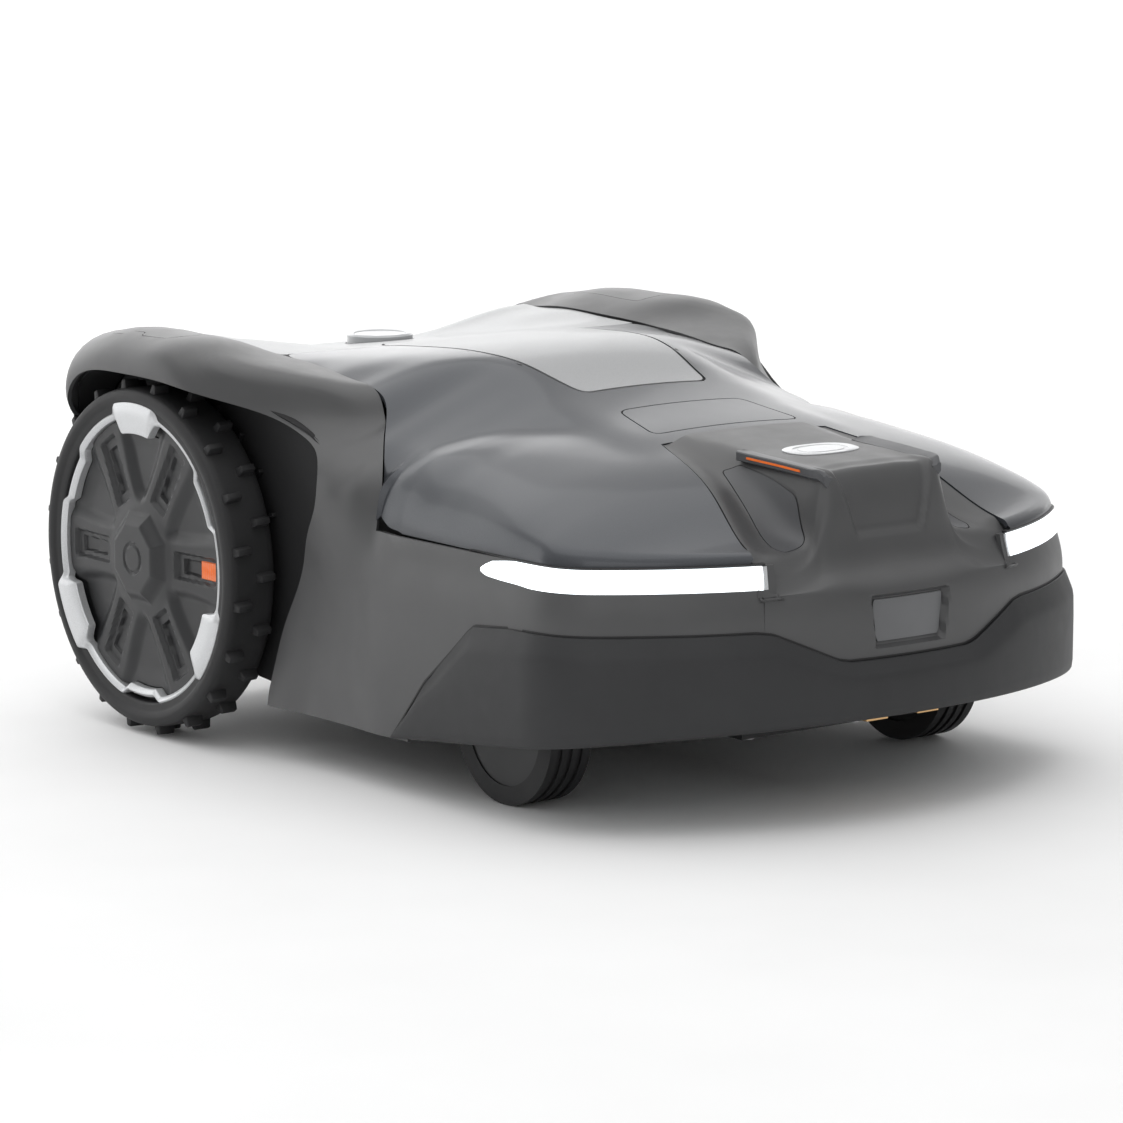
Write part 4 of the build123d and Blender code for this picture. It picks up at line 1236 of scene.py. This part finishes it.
def ring_radii(angle):
    """Inner and outer radius of the silver ring, and its rise, at an angle."""
    tab = 1 - float(smooth_step(off_from(angle, TABS), 12.5, 17.5))
    notch = 1 - float(smooth_step(off_from(angle, NOTCHES), 9.5, 14))
    inner_tab = 1 - float(smooth_step(off_from(angle, TABS), 10.5, 15))
    inner = 108.2 - 12.5 * inner_tab - 6.5 * notch
    outer = 114.2 + 6.2 * tab - 6.0 * notch
    return inner, outer, tab


def ring_section(angle):
    """Closed section of the silver ring as (radius, x)."""
    inner, outer, tab = ring_radii(angle)
    face = TYRE_OUT - 3.0 + 3.3 * tab
    middle = inner + (outer - inner) * 0.55
    return [(inner, face - 9), (inner, face - 3.2), (inner + 0.5, face - 2.4),
            (inner + 2.6, face - 0.4 - 1.2 * tab), (middle, face), (outer - 2.2, face - 0.3 * tab),
            (outer - 0.6, face - 1.2), (outer, face - 2.6), (outer, face - 9), (inner, face - 9)]


ring_angles = np.arange(0, 360, 0.75)
ring_grid = np.array([[wheel_point(x, r, a) for r, x in ring_section(a)] for a in ring_angles])
ring = close_ends(grid_mesh("trim_ring_skin_right", ring_grid, closed=True))

SPOKES = range(0, 360, 60)
CAP_FACE = TYRE_OUT - 6.5
RECESS_RADIUS = 73


def cap_face(radius, angle):
    """Outward position of the hub cap's face."""
    turn = np.radians(angle)
    away = math.radians(off_from(angle, SPOKES))
    side = radius * math.sin(away)
    along = radius * math.cos(away)
    x = CAP_FACE - 2.2 * smooth_step(radius, 40, 105)
    spoke_width = 15.5 + 3.0 * smooth_step(radius, 60, 100)
    scallop = smooth_step(side, spoke_width, spoke_width + 11) * smooth_step(radius, 40, 52)
    x = x - 5.0 * scallop * (1 - 0.35 * smooth_step(radius, 84, 104))
    x = x - 3.4 * box_share(side, 8.6, 2.6) * box_share(along - RECESS_RADIUS, 24.5, 3.0)
    x = x - 3.0 * box_share(side, 4.8, 1.0) * box_share(along - RECESS_RADIUS, 17.5, 1.2)
    octagon = radius * np.cos((turn + np.pi / 8) % (np.pi / 4) - np.pi / 8) * 1.03
    boss = 1 - smooth_step(octagon, 25, 37)
    x = x + 7.6 * boss + 1.0 * (1 - smooth_step(radius, 36, 46))
    badge = (1 - smooth_step(radius, 12.0, 13.0)) - (1 - smooth_step(radius, 9.5, 10.5))
    return np.minimum(x - 1.0 * badge, TYRE_OUT + 3.9)


def cap_piece():
    """Hub cap: a face with spokes, scallops, recesses and a boss, closed at the rear."""
    share = np.concatenate([[0.004], np.linspace(0.04, 0.9, 84), np.linspace(0.905, 1, 10)])
    grid = []
    for angle in np.arange(0, 360, 1.0):
        limit = ring_radii(angle)[0] - 0.9
        radii = share * limit
        face = cap_face(radii, angle)
        column = [wheel_point(x, r, angle) for r, x in zip(radii, face)]
        column += [wheel_point(face[-1] - drop, limit + 0.35, angle) for drop in (0.9, 7)]
        grid.append(column)
    return close_ends(grid_mesh("hub_cap_skin_right", np.array(grid), closed=True))


reflector_low, reflector_high = (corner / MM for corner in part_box("reflector_right"))
# Across the reflector: side, how far it lies below the face
REFLECTOR_PROFILE = ((-7.0, 5), (-7.0, 0.8), (-6.3, 0.2), (-3, 0), (0, 0), (3, 0), (6.3, 0.2), (7.0, 0.8),
                     (7.0, 5))


def reflector_piece():
    """Orange reflector with a ribbed face, in the recess that points to the front."""
    face = float(cap_face(88.0, 20.0)) + 2.4
    columns = []
    for along in np.linspace(WHEEL_Y - reflector_high.y + 1.5, WHEEL_Y - reflector_low.y + 1.0, 33):
        ridge = 0.35 * math.sin(along * math.pi / 1.5)
        columns.append([(face - drop + (0 if drop else ridge), WHEEL_Y - along, WHEEL_Z + side)
                        for side, drop in REFLECTOR_PROFILE])
    return close_ends(grid_mesh("reflector_skin_right", np.array(columns)))


for piece, slot, replaced in (
    (tyre, "tyre_rubber", "tyre"), (ring, "trim_silver", "trim_ring"),
    (cap_piece(), "wheel_plastic", "hub_cap"), (reflector_piece(), "accent_orange", "reflector"),
):
    for side in ("right", "left"):
        made = piece if side == "right" else mirrored(piece, piece.name.replace("right", "left"))
        finish_piece(made, slot, f"wheel_{side}", [f"{replaced}_{side}"], angle=28)

# ---------------------------------------------------------------- wheel wells, rear wall, STOP button

WELL_X = 225.5
LINER_WALL = 1.6


def well_roof():
    """Sheet that closes the wheel well round the opening, from the inner wall to the fender's skin."""
    columns = []
    middle = np.array([190.0, 120.0])
    for y, z in arch:
        out = np.array([y, z]) - middle
        y, z = np.array([y, z]) + out / np.linalg.norm(out) * 2.2
        reach = float(np.interp(z, [0, 180, 200, 230, 262, 300], [231, 233, 236, 246, 262, 264]))
        reach = min(reach, float(np.interp(y, [30, 60, 94, 136, 180], [224, 226, 238, 257, 264])))
        columns.append([(WELL_X + (reach - WELL_X) * t, y, z + 1.5 * math.sin(math.pi * t))
                        for t in np.linspace(0, 1, 7)])
    return thick(grid_mesh("well_roof", np.array(columns)), LINER_WALL)


wall_line = [(y, z) for y, z in arch] + [(350, 74), (88, 50)]
well_wall = prism(wall_line, WELL_X - 2, WELL_X, "X")
well_wall.name = "well_wall"
WHEEL_CENTRE = Vector((WHEEL_Y, WHEEL_Z))
cut(well_wall, prism(circle(WHEEL_CENTRE, 48, 48), WELL_X - 4, WELL_X + 4, "X"))
RIB_INNER, RIB_OUTER, RIB_HALF = 62, 128, 1.3


def well_rib(angle):
    """Rib on the wheel well's wall that points away from the axle."""
    along = Vector((-math.cos(math.radians(angle)), math.sin(math.radians(angle))))
    across = Vector((-along.y, along.x)) * RIB_HALF
    inner, outer = (WHEEL_CENTRE + along * radius for radius in (RIB_INNER, RIB_OUTER))
    corners = [inner - across, outer - across, outer + across, inner + across]
    return bevelled(prism(corners, WELL_X - 0.5, WELL_X + 3.6, "X"), 0.5, 1)


ribs = [well_rib(angle) for angle in range(20, 200, 16)]
flap = [[(x, 349 - 0.004 * (x - 222) ** 2, z) for z in np.linspace(209, 258, 8)]
        for x in np.linspace(220, 254, 12)]
well_flap = thick(grid_mesh("well_flap", np.array(flap)), LINER_WALL)
wells = both_sides(joined("wheel_wells", [well_roof(), well_wall, well_flap, *ribs]))
finish_piece(wells, "liner_black", "shell")


REAR_WALL_Y = 343.0
REAR_WALL_LOW = 84
# Upright section of the rear wall: z, y
REAR_WALL_RULE = [(REAR_WALL_LOW, 327), (110, 333.5), (150, 341), (190, 346.5), (225, 349.5), (245, 349),
                  (262, 346.5), (280, 341)]


def rear_wall():
    """Rear wall of the body shell under the deck, with a grip recess and two banks of slots."""
    across = np.linspace(-WELL_X - 1, WELL_X + 1, 331)
    under = np.minimum(np.abs(across), DECK_SIDE_X)
    station = np.full(under.shape, REAR_WALL_Y)
    top = top_height(under, station, half_width(station)) - 4
    z = top[:, None] + (REAR_WALL_LOW - top[:, None]) * np.linspace(0, 1, 96)[None, :]
    x = np.repeat(across[:, None], z.shape[1], axis=1)
    y = np.interp(z, *zip(*REAR_WALL_RULE))
    y -= 9 * smooth_step(np.abs(x), WELL_X - 12, WELL_X + 1) ** 1.5
    grip = box_share(x, 60, 7) * box_share(z - 224, 8, 5)
    slot = np.mod(np.abs(x) + 0.35 * z, 13)
    bank = smooth_step(slot, 2.5, 4.3) * (1 - smooth_step(slot, 8.7, 10.5))
    bank *= box_share(np.abs(x) - 140, 46, 1.5) * box_share(z - 160, 28, 1.5)
    panel = box_share(x, 78, 5) * box_share(z - 140, 42, 5)
    y -= 9 * grip + 2.8 * bank + 2.2 * panel
    return thick(grid_mesh("rear_wall", np.stack([x, y, z], axis=-1)), 2.2)


finish_piece(rear_wall(), "shell_plastic", "shell", angle=38)


def turned_up(name, profile, centre, count=96):
    """Solid turned about a vertical axis from (radius, z) points."""
    grid = [[(centre[0] + r * math.cos(a), centre[1] + r * math.sin(a), z) for r, z in profile]
            for a in np.linspace(0, 2 * math.pi, count, endpoint=False)]
    return close_ends(grid_mesh(name, np.array(grid), closed=True))


# Radius and depth below the top, from the dished middle over the rim and down
STOP_PROFILE = [(0.2, 2.6), (8, 2.5), (15, 1.9), (20, 1.0), (20.6, 1.3), (21.2, 1.3), (21.8, 0.5), (24, 0),
                (25.6, 0.5), (STOP_RADIUS - 0.3, 1.6), (STOP_RADIUS - 0.2, 14), (0.2, 14)]
stop_profile = [(radius, STOP_TOP - depth) for radius, depth in STOP_PROFILE]
stop = turned_up("stop_button_skin", stop_profile, STOP_PLACE)
finish_piece(stop, "stop_button", "stop", ["stop_button"], angle=30)
